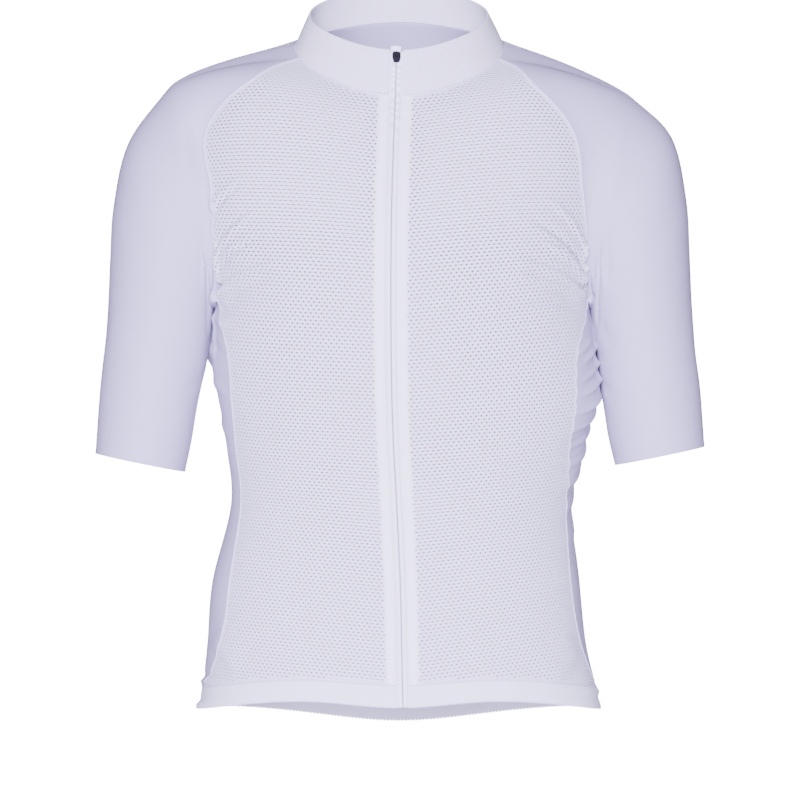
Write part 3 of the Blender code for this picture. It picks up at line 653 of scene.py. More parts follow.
# ---- shader maths --------------------------------------------------------------------
class Value:
    """A number in a node tree. Arithmetic on it adds Math nodes."""

    def __init__(self, finish, socket):
        self.finish, self.socket = finish, socket

    def maths(self, operation, *others, swap=False):
        values = [self, *others]
        if swap:
            values.reverse()
        return self.finish.add("ShaderNodeMath", {"operation": operation},
                               dict(enumerate(values)))

    def __add__(self, other):
        return self.maths("ADD", other)

    def __sub__(self, other):
        return self.maths("SUBTRACT", other)

    def __mul__(self, other):
        return self.maths("MULTIPLY", other)

    def __truediv__(self, other):
        return self.maths("DIVIDE", other)

    def __pow__(self, other):
        return self.maths("POWER", other)

    def __rsub__(self, other):
        return self.maths("SUBTRACT", other, swap=True)

    def __rtruediv__(self, other):
        return self.maths("DIVIDE", other, swap=True)

    __radd__ = __add__
    __rmul__ = __mul__

    def wave(self, pitch):
        """Runs from 0 to 1 and back over each pitch."""
        return (self * (2 * math.pi / pitch)).maths("SINE") * 0.5 + 0.5

    def nearest(self, pitch):
        """Distance to the nearest multiple of the pitch."""
        return (self / pitch + 0.5).maths("FRACT").maths("SUBTRACT", 0.5) * pitch

    def step(self, low, high):
        """0 below the first value, 1 above the second, soft between."""
        return self.finish.add("ShaderNodeMapRange", {"interpolation_type": "SMOOTHSTEP"},
                               {"Value": self, "From Min": low, "From Max": high})


class Finish:
    """One material: its nodes, and the constants of its shader."""

    def __init__(self, name, **constants):
        self.material = bpy.data.materials.new(name)
        self.material.use_nodes = True
        self.tree = self.material.node_tree
        self.shader = self.tree.nodes["Principled BSDF"]
        for key, value in constants.items():
            socket = self.shader.inputs[key.replace("_", " ")]
            socket.default_value = (*value, 1.0) if isinstance(value, tuple) else value

    def add(self, kind, settings=None, values=None, output=0):
        """Adds a node with its settings, and the values or links of its sockets."""
        node = self.tree.nodes.new(kind)
        for key, value in (settings or {}).items():
            setattr(node, key, value)
        for key, value in (values or {}).items():
            if isinstance(value, Value):
                self.tree.links.new(value.socket, node.inputs[key])
            else:
                node.inputs[key].default_value = value
        return Value(self, node.outputs[output])

    def feed(self, name, value):
        self.tree.links.new(value.socket, self.shader.inputs[name])

    def cut(self):
        """The place on the cut piece, in millimetres, and its two parts."""
        place = self.add("ShaderNodeUVMap", {"uv_map": "cut"})
        across = self.add("ShaderNodeSeparateXYZ", None, {0: place})
        return place, across, Value(self, across.socket.node.outputs[1])

    def noise(self, place, scale, detail=3.0):
        return self.add("ShaderNodeTexNoise", None,
                        {"Vector": place, "Scale": scale, "Detail": detail})

    def mix(self, share, first, second):
        colours = [(*item, 1.0) if isinstance(item, tuple) else item
                   for item in (first, second)]
        return self.add("ShaderNodeMix", {"data_type": "RGBA"},
                        {0: share, 6: colours[0], 7: colours[1]}, output=2)

    def paint(self, share, rgb, dark):
        """Base colour between a darkened colour and the colour itself."""
        self.feed("Base Color", self.mix(share, shade(rgb, dark), rgb))

    def place(self):
        """Object coordinates."""
        return self.add("ShaderNodeTexCoord", output=3)

    def bump(self, height, distance, strength=1.0):
        """Height in shares of the distance, which is millimetres."""
        sockets = {"Height": height, "Distance": distance * MM, "Strength": strength}
        self.feed("Normal", self.add("ShaderNodeBump", None, sockets))


FACED_COLOUR = (0.97, 0.97, 0.95)      # the fronts' doubled edge beside the zip


def shade(rgb, by):
    return tuple(channel * by for channel in rgb)


def mesh_knit(rgb, pitch, row):
    """Warp-knit mesh: courses between the rows of holes, fine wales, and painted shade in the
    grooves.
    """
    made = Finish("mesh_knit_finish", Roughness=0.82)
    place, u, v = made.cut()
    course = v.wave(row / 3)
    wale = u.wave(pitch / 6)
    rib = (v + 0.75 * row).wave(row)
    loops = course * 0.6 + wale * 0.4
    cloud = made.noise(place, 0.02)
    faced = made.add("ShaderNodeAttribute", {"attribute_name": "faced"}, output=2)
    # Painted shade: darker where the bump sinks, most along the rows of holes; the noise adds
    # random tone.
    knit = made.mix(loops * 0.3 + rib * 0.45 + cloud * 0.25, shade(rgb, 0.82), rgb)
    made.feed("Base Color", made.mix(faced, knit, FACED_COLOUR))
    made.bump(loops * 0.4 + rib * (1 - faced) + made.noise(place, 1.4) * 0.2, 0.35, 0.8)
    return made.material


def smooth_knit(rgb):
    """Fine stretch jersey: hair-fine ribs that run up the piece."""
    made = Finish("smooth_knit_finish", Roughness=0.62, Specular_IOR_Level=0.35)
    place, u, v = made.cut()
    twill = (u * 0.94 + v * 0.34).wave(0.62)
    course = v.wave(0.9)
    cloud = made.noise(place, 0.025)
    made.paint(twill * 0.25 + cloud * 0.6, rgb, 0.955)
    made.feed("Roughness", cloud * 0.12 + 0.56)
    made.bump(twill * 0.7 + course * 0.3, 0.05, 0.6)
    return made.material


def collar_knit(rgb):
    """Dense double knit with a close pattern of pin holes, painted dark for the shade in them."""
    made = Finish("collar_knit_finish", Roughness=0.8)
    place, u, v = made.cut()
    first = (u.nearest(2.5) ** 2 + v.nearest(3.2) ** 2) ** 0.5
    second = ((u + 1.25).nearest(2.5) ** 2 + (v + 1.6).nearest(3.2) ** 2) ** 0.5
    holes = 1 - first.maths("MINIMUM", second).step(0.35, 0.75)
    cloud = made.noise(place, 0.03)
    light = made.mix(cloud, shade(rgb, 0.97), rgb)
    # Painted shade: the pin holes are painted at half the colour, for the shade inside them.
    made.feed("Base Color", made.mix(holes * 0.9, light, shade(rgb, 0.5)))
    made.bump(v.wave(0.75) * 0.25 + 1 - holes, 0.22, 0.8)
    return made.material


def elastic_band(rgb):
    """Woven elastic: fine ribs across it and a fine weave along it."""
    made = Finish("elastic_finish", Roughness=0.7)
    place, u, v = made.cut()
    ribs = u.wave(0.9)
    weave = v.wave(1.1)
    cloud = made.noise(place, 0.05)
    made.paint(ribs * 0.3 + weave * 0.3 + cloud * 0.4, rgb, 0.93)
    made.bump(ribs * 0.5 + weave * 0.5, 0.1, 0.7)
    return made.material


def woven_tape(rgb):
    """Close woven zip tape: cross ribs, with a herringbone turn."""
    made = Finish("zip_tape_finish", Roughness=0.6)
    place, u, v = made.cut()
    ribs = (v + u.wave(3.2) * 0.7).wave(0.8)
    made.paint(ribs * 0.6 + made.noise(place, 0.1) * 0.4, rgb, 0.92)
    made.bump(ribs, 0.08, 0.7)
    return made.material


def sewing_thread(rgb):
    """Twisted thread."""
    made = Finish("thread_finish", Roughness=0.6)
    made.paint(made.noise(made.place(), 2200.0, 1.0), rgb, 0.93)
    return made.material


def seam_cover(rgb):
    """Flat seam: close cross threads over the join."""
    made = Finish("seam_cover", Roughness=0.65)
    threads = made.cut()[2].wave(0.85)
    made.paint(threads, rgb, 0.93)
    made.bump(threads, 0.12, 0.8)
    return made.material


def painted_metal(rgb):
    """Black painted zinc with a fine grain."""
    made = Finish("black_metal_finish", Roughness=0.5, Specular_IOR_Level=0.1)
    grain = made.noise(made.place(), 900.0)
    made.feed("Base Color", made.mix(grain, rgb, tuple(c + 0.01 for c in rgb)))
    made.feed("Roughness", grain * 0.2 + 0.4)
    made.bump(grain, 0.03, 0.4)
    return made.material


# ---- perforated fronts ---------------------------------------------------------------
FRONT_ROWS, FRONT_COLUMNS = 230, 72
LIP_DEPTH, TURNED_EDGE = 0.5, 0.9    # of each hole, and of the piece
FACING_FADE = 5.0                    # width over which the facing gives way to the mesh
CELL_MARGIN = 0.9                    # least distance of a whole cell from the edge
# Where the knit is drawn sideways, its holes are wider and lower: on the chest, but less
# near the edges, and at the waist beside the zip. Heights are shares of the piece's.
CHEST_FROM, CHEST_OVER = 0.62, 0.14
EDGE_FROM, EDGE_OVER = 3.0, 24.0
WAIST_AT, WAIST_HALF, WAIST_REACH = 0.31, 0.06, 80.0
DRAWN_WIDER, DRAWN_LOWER = 0.75, 0.5


def tree_with(name, sockets):
    """Starts a geometry nodes tree with named inputs.

    Gives its inputs, a function that adds a node, one that adds a Math node, one that
    reads a named attribute, and one that ends the tree by giving its geometry the finish.
    """
    tree = bpy.data.node_groups.new(name, "GeometryNodeTree")
    for label, kind in (("Geometry", "Geometry"), *sockets, ("Finish", "Material")):
        tree.interface.new_socket(label, in_out="INPUT", socket_type="NodeSocket" + kind)
    tree.interface.new_socket("Geometry", in_out="OUTPUT", socket_type="NodeSocketGeometry")
    given = tree.nodes.new("NodeGroupInput").outputs
    result = tree.nodes.new("NodeGroupOutput")

    def add(kind, settings=None, sockets=None, **values):
        """Sockets are given by number, or as a value by name with _ for a space."""
        node = tree.nodes.new(kind)
        for key, value in (settings or {}).items():
            setattr(node, key, value)
        named = {key.replace("_", " "): value for key, value in values.items()}
        for key, value in {**(sockets or {}), **named}.items():
            if hasattr(value, "is_output"):
                tree.links.new(value, node.inputs[key])
            else:
                node.inputs[key].default_value = value
        return node

    def maths(operation, *values):
        return add("ShaderNodeMath", {"operation": operation}, dict(enumerate(values))).outputs[0]

    def attribute(label, kind):
        return add("GeometryNodeInputNamedAttribute", {"data_type": kind},
                   Name=label).outputs["Attribute"]

    def dress(geometry):
        done = add("GeometryNodeSetMaterial", Geometry=geometry, Material=given["Finish"])
        tree.links.new(done.outputs[0], result.inputs[0])
        return tree
    return given, add, maths, attribute, dress


def perforation_tree():
    """Geometry nodes: turns the edge of a flat piece under, and opens its marked cells."""
    given, add, maths, attribute, dress = tree_with("perforate", (
        ("Lip Depth", "Float"), ("Turned Edge", "Float")))

    def extrude(mode, mesh, selection, **values):
        return add("GeometryNodeExtrudeMesh", {"mode": mode}, Mesh=mesh, Selection=selection,
                   **values)

    def down(name):
        return add("ShaderNodeCombineXYZ", Z=maths("MULTIPLY", given[name], -1.0)).outputs[0]

    neighbours = add("GeometryNodeInputMeshEdgeNeighbors")
    border = add("FunctionNodeCompare", {"data_type": "INT", "operation": "EQUAL"},
                 {2: neighbours.outputs[0], 3: 1})
    turned = extrude("EDGES", given["Geometry"], border.outputs[0],
                     Offset=down("Turned Edge"), Offset_Scale=1.0)
    ring = extrude("FACES", turned.outputs["Mesh"], attribute("cell", "BOOLEAN"),
                   Offset_Scale=0.0, Individual=True)
    flow = ring.outputs["Mesh"]
    for axis, name in (((1, 0, 0), "hole_across"), ((0, 1, 0), "hole_up")):
        flow = add("GeometryNodeScaleElements", {"domain": "FACE", "scale_mode": "SINGLE_AXIS"},
                   Geometry=flow, Selection=ring.outputs["Top"],
                   Scale=attribute(name, "FLOAT"), Axis=axis).outputs["Geometry"]
    lip = extrude("FACES", flow, ring.outputs["Top"], Offset=down("Lip Depth"),
                  Offset_Scale=1.0, Individual=True)
    opened = add("GeometryNodeDeleteGeometry", {"domain": "FACE"},
                 Geometry=lip.outputs["Mesh"], Selection=lip.outputs["Top"])
    return dress(opened.outputs[0])


def set_input(modifier, name, value):
    for item in modifier.node_group.interface.items_tree:
        if item.name == name and item.in_out == "INPUT":
            modifier[item.identifier] = value


def inside(points, outline):
    """Which points lie inside a closed outline."""
    x, y = points[:, 0][:, None], points[:, 1][:, None]
    start, end = outline, np.roll(outline, -1, 0)
    crosses = (start[:, 1] > y) != (end[:, 1] > y)
    rise = np.where(end[:, 1] == start[:, 1], 1e-9, end[:, 1] - start[:, 1])
    at = start[:, 0] + (y - start[:, 1]) * (end[:, 0] - start[:, 0]) / rise
    return ((x < at) & crosses).sum(1) % 2 == 1


def edge_distance(points, outline, closed=True):
    """Distance of points from a line, which is closed unless said."""
    start, run = outline, np.roll(outline, -1, 0) - outline
    if not closed:
        start, run = start[:-1], run[:-1]
    offset = points[:, None] - start
    share = np.clip((offset * run).sum(-1) / np.maximum((run * run).sum(-1), 1e-9), 0, 1)
    return np.linalg.norm(offset - run * share[..., None], axis=-1).min(1)


def cell_centres(column, line, pitch, row):
    """Middles of the lattice's cells. Every other line is shifted by half a pitch."""
    return np.stack(((column + 0.5 * (line % 2)) * pitch, line * row), -1)


def nearest_cells(points, pitch, row):
    """Column and line of the cell that each point is nearest to."""
    line = np.round(points[:, 1] / row).astype(int) + np.array([[-1], [0], [1]])
    column = np.round(points[:, 0] / pitch - 0.5 * (line % 2)).astype(int)
    gap = np.linalg.norm(cell_centres(column, line, pitch, row) - points, axis=-1)
    best = gap.argmin(0), np.arange(len(points))
    return zip(column[best].tolist(), line[best].tolist())


def knit_cells(outline, pitch, row):
    """Flat cloth as a lattice of six-sided cells, joined to its outline by triangles."""
    peak = (pitch * pitch / 4 + row * row) / (2 * row)
    shoulder = row - peak
    corners = np.array(((0, peak), (-pitch / 2, shoulder), (-pitch / 2, -shoulder),
                        (0, -peak), (pitch / 2, -shoulder), (pitch / 2, shoulder)))
    spans = [np.arange(math.floor(low / step) - 1, math.ceil(high / step) + 1)
             for low, high, step in zip(outline.min(0), outline.max(0), (pitch, row))]
    column, line = (item.ravel() for item in np.meshgrid(*spans))
    centres = cell_centres(column, line, pitch, row)
    kept = inside(centres, outline)
    kept[kept] = edge_distance(centres[kept], outline) > peak + CELL_MARGIN
    kept_cells = set(zip(column[kept].tolist(), line[kept].tolist()))
    index, points, faces = {}, [], []
    for centre in centres[kept]:
        face = []
        for corner in centre + corners:
            key = (round(corner[0] * 20), round(corner[1] * 20))
            if key not in index:
                index[key] = len(points)
                points.append(corner)
            face.append(index[key])
        faces.append(face)
    sides = dict.fromkeys(pair for face in faces for pair in zip(face, face[1:] + face[:1]))
    rim = [pair for pair in sides if pair[::-1] not in sides]
    border = join_outline(outline, points, rim, lambda middle: np.array(
        [cell in kept_cells for cell in nearest_cells(middle, pitch, row)]))
    return np.array(points), faces, border


def join_outline(outline, points, rim, in_cell):
    """Triangles between an outline and a rim of point pairs. Adds the outline's points."""
    loose = sorted({place for pair in rim for place in pair})
    count = len(outline)
    local = {place: count + order for order, place in enumerate(loose)}
    flat = [Vector(point) for point in outline] + [Vector(points[place]) for place in loose]
    edges = [(place, (place + 1) % count) for place in range(count)]
    edges += [(local[start], local[end]) for start, end in rim]
    made, _, triangles, *_ = delaunay_2d_cdt(flat, edges, [], 0, 1e-4)
    made = np.array([tuple(point) for point in made])
    triangles = np.array([tuple(item) for item in triangles])
    middle = made[triangles].mean(1)
    triangles = triangles[inside(middle, outline) & ~in_cell(middle)]
    known = {tuple(np.round(points[place], 3)): place for place in loose}
    for point in made:
        key = tuple(np.round(point, 3))
        if key not in known:
            known[key] = len(points)
            points.append(point)
    places = [known[tuple(np.round(point, 3))] for point in made]
    return [[places[corner] for corner in item] for item in triangles]


def drape(flat, target_flat, target_points, target_normals, quads):
    """Takes points of flat cloth, with heights, on to the form."""
    corners = [tuple(quad[half]) for half in ([0, 1, 2], [0, 2, 3]) for quad in quads]
    tree = BVHTree.FromPolygons([(*point, 0.0) for point in target_flat.tolist()], corners)
    found = [tree.find_nearest((x, y, 0.0)) for x, y, _ in flat.tolist()]
    corner = np.array(corners)[[item[2] for item in found]]
    spot = np.array([item[0][:2] for item in found])
    a, b, c = (target_flat[corner[:, place]] for place in range(3))
    ab, ac, ap = b - a, c - a, spot - a
    whole = ab[:, 0] * ac[:, 1] - ab[:, 1] * ac[:, 0]
    second = (ap[:, 0] * ac[:, 1] - ap[:, 1] * ac[:, 0]) / whole
    third = (ab[:, 0] * ap[:, 1] - ab[:, 1] * ap[:, 0]) / whole
    shares = np.stack((1 - second - third, second, third), -1)[..., None]
    points = (target_points[corner] * shares).sum(1)
    normals = unit((target_normals[corner] * shares).sum(1))
    return points + normals * flat[:, 2:3]


def body_rows(first, last, count, edge_1, edge_2, columns, gap=SEAM_GAP / 2):
    """Angles and levels of a grid between two edges, which are functions of the level."""
    level = np.linspace(first, last, count)
    ends = np.sort(np.stack((edge_1(level), edge_2(level))), 0)
    low = ends[0] + arc_step(ends[0], level, gap)
    high = ends[1] - arc_step(ends[1], level, gap)
    share = np.linspace(0, 1, columns)
    angle = low[:, None] * (1 - share) + high[:, None] * share
    return angle, np.repeat(level[:, None], columns, 1)


def drawn_holes(middle, outline, from_zip, height):
    """How far the holes are drawn sideways, from 0 to 1."""
    high = middle[:, 1] / height
    chest = smooth_step((high - CHEST_FROM) / CHEST_OVER)
    edge = smooth_step((edge_distance(middle, outline) - EDGE_FROM) / EDGE_OVER)
    waist = bell(high, WAIST_AT, WAIST_HALF) * smooth_step(1 - from_zip / WAIST_REACH)
    return np.maximum(chest * edge, waist)


def build_front(side, cloth, finish, tree):
    """One front: cut flat, pierced, and laid on the form."""
    rows, columns = FRONT_ROWS, FRONT_COLUMNS
    angle, level = body_rows(BAND_SEAM, NECK, rows,
                             lambda at: zip_angle(side, ZIP_OPEN_HALF, at),
                             lambda at: front_seam(side, at), columns)
    points, normals = form(angle, level, cloth.crease_depth)
    name = "front_" + side
    quads = grid_faces(rows, columns)
    base = mesh_object(name + "_cut", points.reshape(-1, 3), quads, finish)
    flat, size, area = flatten(base, rows, columns)
    bpy.data.objects.remove(base)
    cells = flat.reshape(rows, columns, 2)
    outline = np.concatenate((cells[0], cells[1:, -1], cells[-1, -2::-1], cells[-2:0:-1, 0]))
    zip_edge = cells[:, 0 if side == "left" else -1]
    pitch, row = cloth.hole_pitch / MM, cloth.row_pitch / MM
    knit, faces, border = knit_cells(outline, pitch, row)
    made = mesh_object(name + "_cloth", np.column_stack((knit, np.zeros(len(knit)))),
                       faces + border, finish)
    middle = knit[np.array(faces)].mean(1)
    from_zip = edge_distance(middle, zip_edge, False)
    drawn = drawn_holes(middle, outline, from_zip, size[1])
    wide = cloth.hole_width / MM / pitch
    blank = np.zeros(len(border))
    marks = {"cell": from_zip > FACING, "hole_across": wide * (1 + DRAWN_WIDER * drawn),
             "hole_up": wide * (1 - DRAWN_LOWER * drawn)}
    for label, values in marks.items():
        values = np.concatenate((values, blank))
        kind, values = ("BOOLEAN", values > 0) if label == "cell" else ("FLOAT", values)
        made.data.attributes.new(label, kind, "FACE").data.foreach_set("value", values)
    opened = made.modifiers.new("perforate", "NODES")
    opened.node_group = tree
    set_input(opened, "Lip Depth", LIP_DEPTH * MM)
    set_input(opened, "Turned Edge", TURNED_EDGE * MM)
    set_input(opened, "Finish", finish)
    settle(made)
    mesh = made.data
    spots = np.zeros(len(mesh.vertices) * 3)
    mesh.vertices.foreach_get("co", spots)
    spots = spots.reshape(-1, 3) / MM
    placed = drape(spots, flat, points.reshape(-1, 3), normals.reshape(-1, 3), quads)
    mesh.vertices.foreach_set("co", (placed * MM).ravel())
    store_cut(mesh, spots[loop_vertices(mesh), :2])
    for label in marks:
        mesh.attributes.remove(mesh.attributes[label])
    near = edge_distance(spots[:, :2], zip_edge, False) - FACING
    faced = 1 - smooth_step(near / FACING_FADE + 0.5)
    mesh.attributes.new("faced", "FLOAT", "POINT").data.foreach_set("value", faced)
    mesh.update()
    finish_shading(mesh)
    declare(made, name, size, area)


class JERSEY_OT_fronts(bpy.types.Operator):
    """Two perforated fronts, from the hem band to the collar"""
    bl_idname = "jersey.fronts"
    bl_label = "Perforated fronts"

    def execute(self, context):
        cloth = context.scene.jersey_cloth
        finish = mesh_knit(tuple(cloth.mesh_colour), cloth.hole_pitch / MM, cloth.row_pitch / MM)
        tree = perforation_tree()
        for side in SIDES:
            build_front(side, cloth, finish, tree)
        return {"FINISHED"}


# ---- back, sides, pockets, hem band and collar ---------------------------------------
POCKETS = 3
POCKET_SLACK = 3.4           # bulge of each pocket at its mouth
MOUTH_SAG = 3.0              # and how far the mouth hangs down
MOUTH_LEVELS = 0.6           # over so many levels below it
POCKET_STAND = 1.0           # least height of a pocket over its sewn edges
POCKET_EDGE = 0.03           # share of the width over which the ends rise to it
POCKET_ROUND = 1.4           # power that shapes the bulge between two rows of stitches
ARMHOLE_TURN = 1.2           # levels over which a side panel's rows turn to the armhole
COLLAR_BELLY, BAND_BELLY = 0.5, 0.35
COLLAR_WAVE, COLLAR_WAVES = 0.35, 9          # at its lower edge, height and number


def shared_finish(name, make, *values):
    return bpy.data.materials.get(name) or make(*values)


def back_grid(last, rows, columns):
    return body_rows(BAND_SEAM, last, rows, lambda at: back_seam("left", at),
                     lambda at: 360 + back_seam("right", at), columns)


def pocket_points(angle, level, share, crease_depth):
    """Face of the pockets at places given also as a share of the way across them."""
    points, normals = form(angle, level, crease_depth)
    rise = smooth_step((level - BAND_SEAM) / (POCKET_LEVEL - BAND_SEAM))
    belly = np.abs(np.sin(POCKETS * np.pi * share)) ** POCKET_ROUND
    edge = smooth_step(np.minimum(share, 1 - share) / POCKET_EDGE)
    lift = POCKET_LIFT + edge * (POCKET_STAND + POCKET_SLACK * rise * belly)
    points = points + normals * lift[..., None]
    sag = MOUTH_SAG * smooth_step((level - POCKET_LEVEL + MOUTH_LEVELS) / MOUTH_LEVELS)
    points[..., 2] -= sag * belly
    return points, normals


def pocket_line(level, share, crease_depth):
    """Line just over the pockets, through places given by level and share across."""
    low, high = back_seam("left", level), 360 + back_seam("right", level)
    points, normals = pocket_points(low * (1 - share) + high * share, level, share, crease_depth)
    return points + normals * STITCH_LIFT, normals


class JERSEY_OT_body(bpy.types.Operator):
    """Back, side panels and rear pockets in smooth knit"""
    bl_idname = "jersey.body"
    bl_label = "Back, sides and pockets"

    def execute(self, context):
        cloth = context.scene.jersey_cloth
        finish = shared_finish("smooth_knit_finish", smooth_knit, tuple(cloth.smooth_colour))
        angle, level = back_grid(NECK, rows=150, columns=120)
        points, _ = form(angle, level, cloth.crease_depth)
        cut_piece("back", "smooth_knit", points, CLOTH, finish,
                  ["sleeve_left", "sleeve_right"], "hung")
        for side in SIDES:
            angle, level = body_rows(BAND_SEAM, ARMHOLE, 200, lambda at: front_seam(side, at),
                                     lambda at: back_seam(side, at), columns=58)
            share = smooth_step((level - (ARMHOLE - ARMHOLE_TURN)) / ARMHOLE_TURN)
            level = level - share * (ARMHOLE - armhole_level(angle, side))
            points, _ = form(angle, level, cloth.crease_depth)
            cut_piece("side_panel_" + side, "smooth_knit", points, CLOTH, finish,
                      ["front_" + side, "back"])
        self.pockets(cloth, finish)
        return {"FINISHED"}

    def pockets(self, cloth, finish):
        """Three patch pockets in one piece, slack at their mouths."""
        angle, level = back_grid(POCKET_LEVEL, rows=60, columns=130)
        share = np.linspace(0, 1, angle.shape[1])[None, :] * np.ones_like(level)
        points = pocket_points(angle, level, share, cloth.crease_depth)[0]
        cut_piece("back_pockets", "smooth_knit", points, CLOTH, finish, ["back"])


def all_round(level, counts):
    """Angles and levels of a grid from one side of the zip to the other.

    The counts are its columns between the zip's edges and the seams.
    """
    edge = ZIP_OPEN_HALF + SEAM_GAP / 2
    stops = [zip_angle("left", edge, level), front_seam("left", level), back_seam("left", level),
             360 + back_seam("right", level), 360 + front_seam("right", level),
             360 + zip_angle("right", edge, level)]
    parts = []
    for first, last, count in zip(stops, stops[1:], counts):
        share = np.linspace(0, 1, count + 1)[1:]
        parts.append(first[:, None] * (1 - share) + last[:, None] * share)
    angle = np.concatenate([stops[0][:, None]] + parts, 1)
    return angle, np.repeat(level[:, None], angle.shape[1], 1)


class JERSEY_OT_trims(bpy.types.Operator):
    """Stand collar, folded at its top, and the elastic band at the hem"""
    bl_idname = "jersey.trims"
    bl_label = "Collar and hem band"

    def execute(self, context):
        cloth = context.scene.jersey_cloth
        finish = collar_knit(tuple(cloth.collar_colour))
        low = NECK + float(level_step(0.0, NECK + 0.5, SEAM_GAP / 2))
        angle, level = all_round(np.linspace(low, COLLAR_TOP, 22), (30, 14, 46, 14, 30))
        points, normals = form(angle, level)
        height = (level - NECK) / (COLLAR_TOP - NECK)
        wave = COLLAR_WAVE * np.sin(np.radians(angle) * COLLAR_WAVES) * (1 - height)
        belly = COLLAR_BELLY * np.sin(np.pi * height) + wave
        cut_piece("collar", "collar_knit", points + normals * belly[..., None], COLLAR_WALL,
                  finish, ["front_left", "front_right", "back", "sleeve_left", "sleeve_right"],
                  strip=True)
        finish = elastic_band(tuple(cloth.band_colour))
        high = BAND_SEAM - float(level_step(0.0, 0.5, SEAM_GAP / 2))
        angle, level = all_round(np.linspace(0.0, high, 9), (50, 34, 110, 34, 50))
        points, normals = form(angle, level, cloth.crease_depth)
        belly = BAND_BELLY * np.sin(np.pi * level)
        cut_piece("hem_band", "elastic", points + normals * belly[..., None], BAND_WALL,
                  finish, ["front_left", "front_right", "back"], strip=True)
        return {"FINISHED"}


# ---- sleeves -------------------------------------------------------------------------
NECK_PLACES, CAP_ROWS, ARM_ROWS = 20, 30, 80
ARM_RADIUS = 52              # at which a sleeve crease's angles are made lengths
EASE_ROUNDS = 6              # rounds that ease the turn where cap and arm meet
IN_LINE_TO, IN_LINE_OVER = 95, 60    # arm angles from which the cloth leaves the armhole
                                     # less and less in line with the body
ONWARD_FROM, ONWARD_OVER = -0.1, 0.6     # and how far it has to point outwards for that
CAP_SLOPE = 1.3              # longest slope at the first arm ring, in shares of the cap
UNDER_FROM, UNDER_OVER = 118, 22     # arm angles at which the underarm groove comes in
UNDER_TO, UNDER_FADE = 176, 14       # and goes out again
GROOVE_AT, GROOVE_HALF = 0.075, 0.045        # place and half width along the sleeve
TUCK_AT, TUCK_HALF = 0.018, 0.014


def raglan_alpha(share):
    return ALPHA_NECK + (ALPHA_UNDER - ALPHA_NECK) * share ** ALPHA_EASE


def armhole_places(side, neck=NECK_PLACES, raglan=64, under=26):
    """Angle, level and arm angle of the places around the armhole.

    They start at the front end of the neck seam and go back over the shoulder, down the
    back raglan, forward under the arm and up the front raglan.
    """
    front, back = float(front_seam(side, NECK)), float(back_seam(side, NECK))
    share = np.arange(neck) / neck
    parts = [(front + (back - front) * share, np.full(neck, float(NECK)),
              ALPHA_NECK * (1 - 2 * share))]
    share = np.arange(raglan) / raglan
    level = NECK + (ARMHOLE - NECK) * share
    parts.append((back_seam(side, level), level, -raglan_alpha(share)))
    share = np.arange(under) / under
    angle = (float(back_seam(side, ARMHOLE)) * (1 - share)
             + float(front_seam(side, ARMHOLE)) * share)
    parts.append((angle, armhole_level(angle, side),
                  -ALPHA_UNDER - 2 * (180 - ALPHA_UNDER) * share))
    share = 1 - np.arange(raglan) / raglan
    level = NECK + (ARMHOLE - NECK) * share
    parts.append((front_seam(side, level), level, raglan_alpha(share) - 360))
    return [np.concatenate(item) for item in zip(*parts)]


def arm_point(side, ring, alpha):
    """Points of the arm rings: 0 is the outer point, 180 the inner, 90 the front."""
    ring, alpha = np.broadcast_arrays(np.asarray(ring, float), alpha)
    sign = 1 if side == "left" else -1
    outer, inner = [np.stack((sign * spline(ARM_TABLE[end + "_x"], ring), 0 * ring,
                              spline(ARM_TABLE[end + "_z"], ring)
                              + SHOULDER_LIFT[side] * spline(ARM_TABLE[end + "_lift"], ring)), -1)
                    for end in ("outer", "inner")]
    inner[..., 0] += spline(ARM_TABLE["inner_side"], ring)
    turn = np.radians(alpha)
    reach = np.where(np.sin(turn) >= 0, spline(ARM_TABLE["front"], ring),
                     spline(ARM_TABLE["back"], ring))
    points = (outer + inner) / 2 + (outer - inner) / 2 * np.cos(turn)[..., None]
    points[..., 1] -= reach * np.sin(turn)
    return points


def hermite(start, end, start_slope, end_slope, t):
    return (start * (2 * t ** 3 - 3 * t * t + 1) + start_slope * (t ** 3 - 2 * t * t + t)
            + end * (3 * t * t - 2 * t ** 3) + end_slope * (t ** 3 - t * t))


def dot(first, second):
    return (first * second).sum(-1)


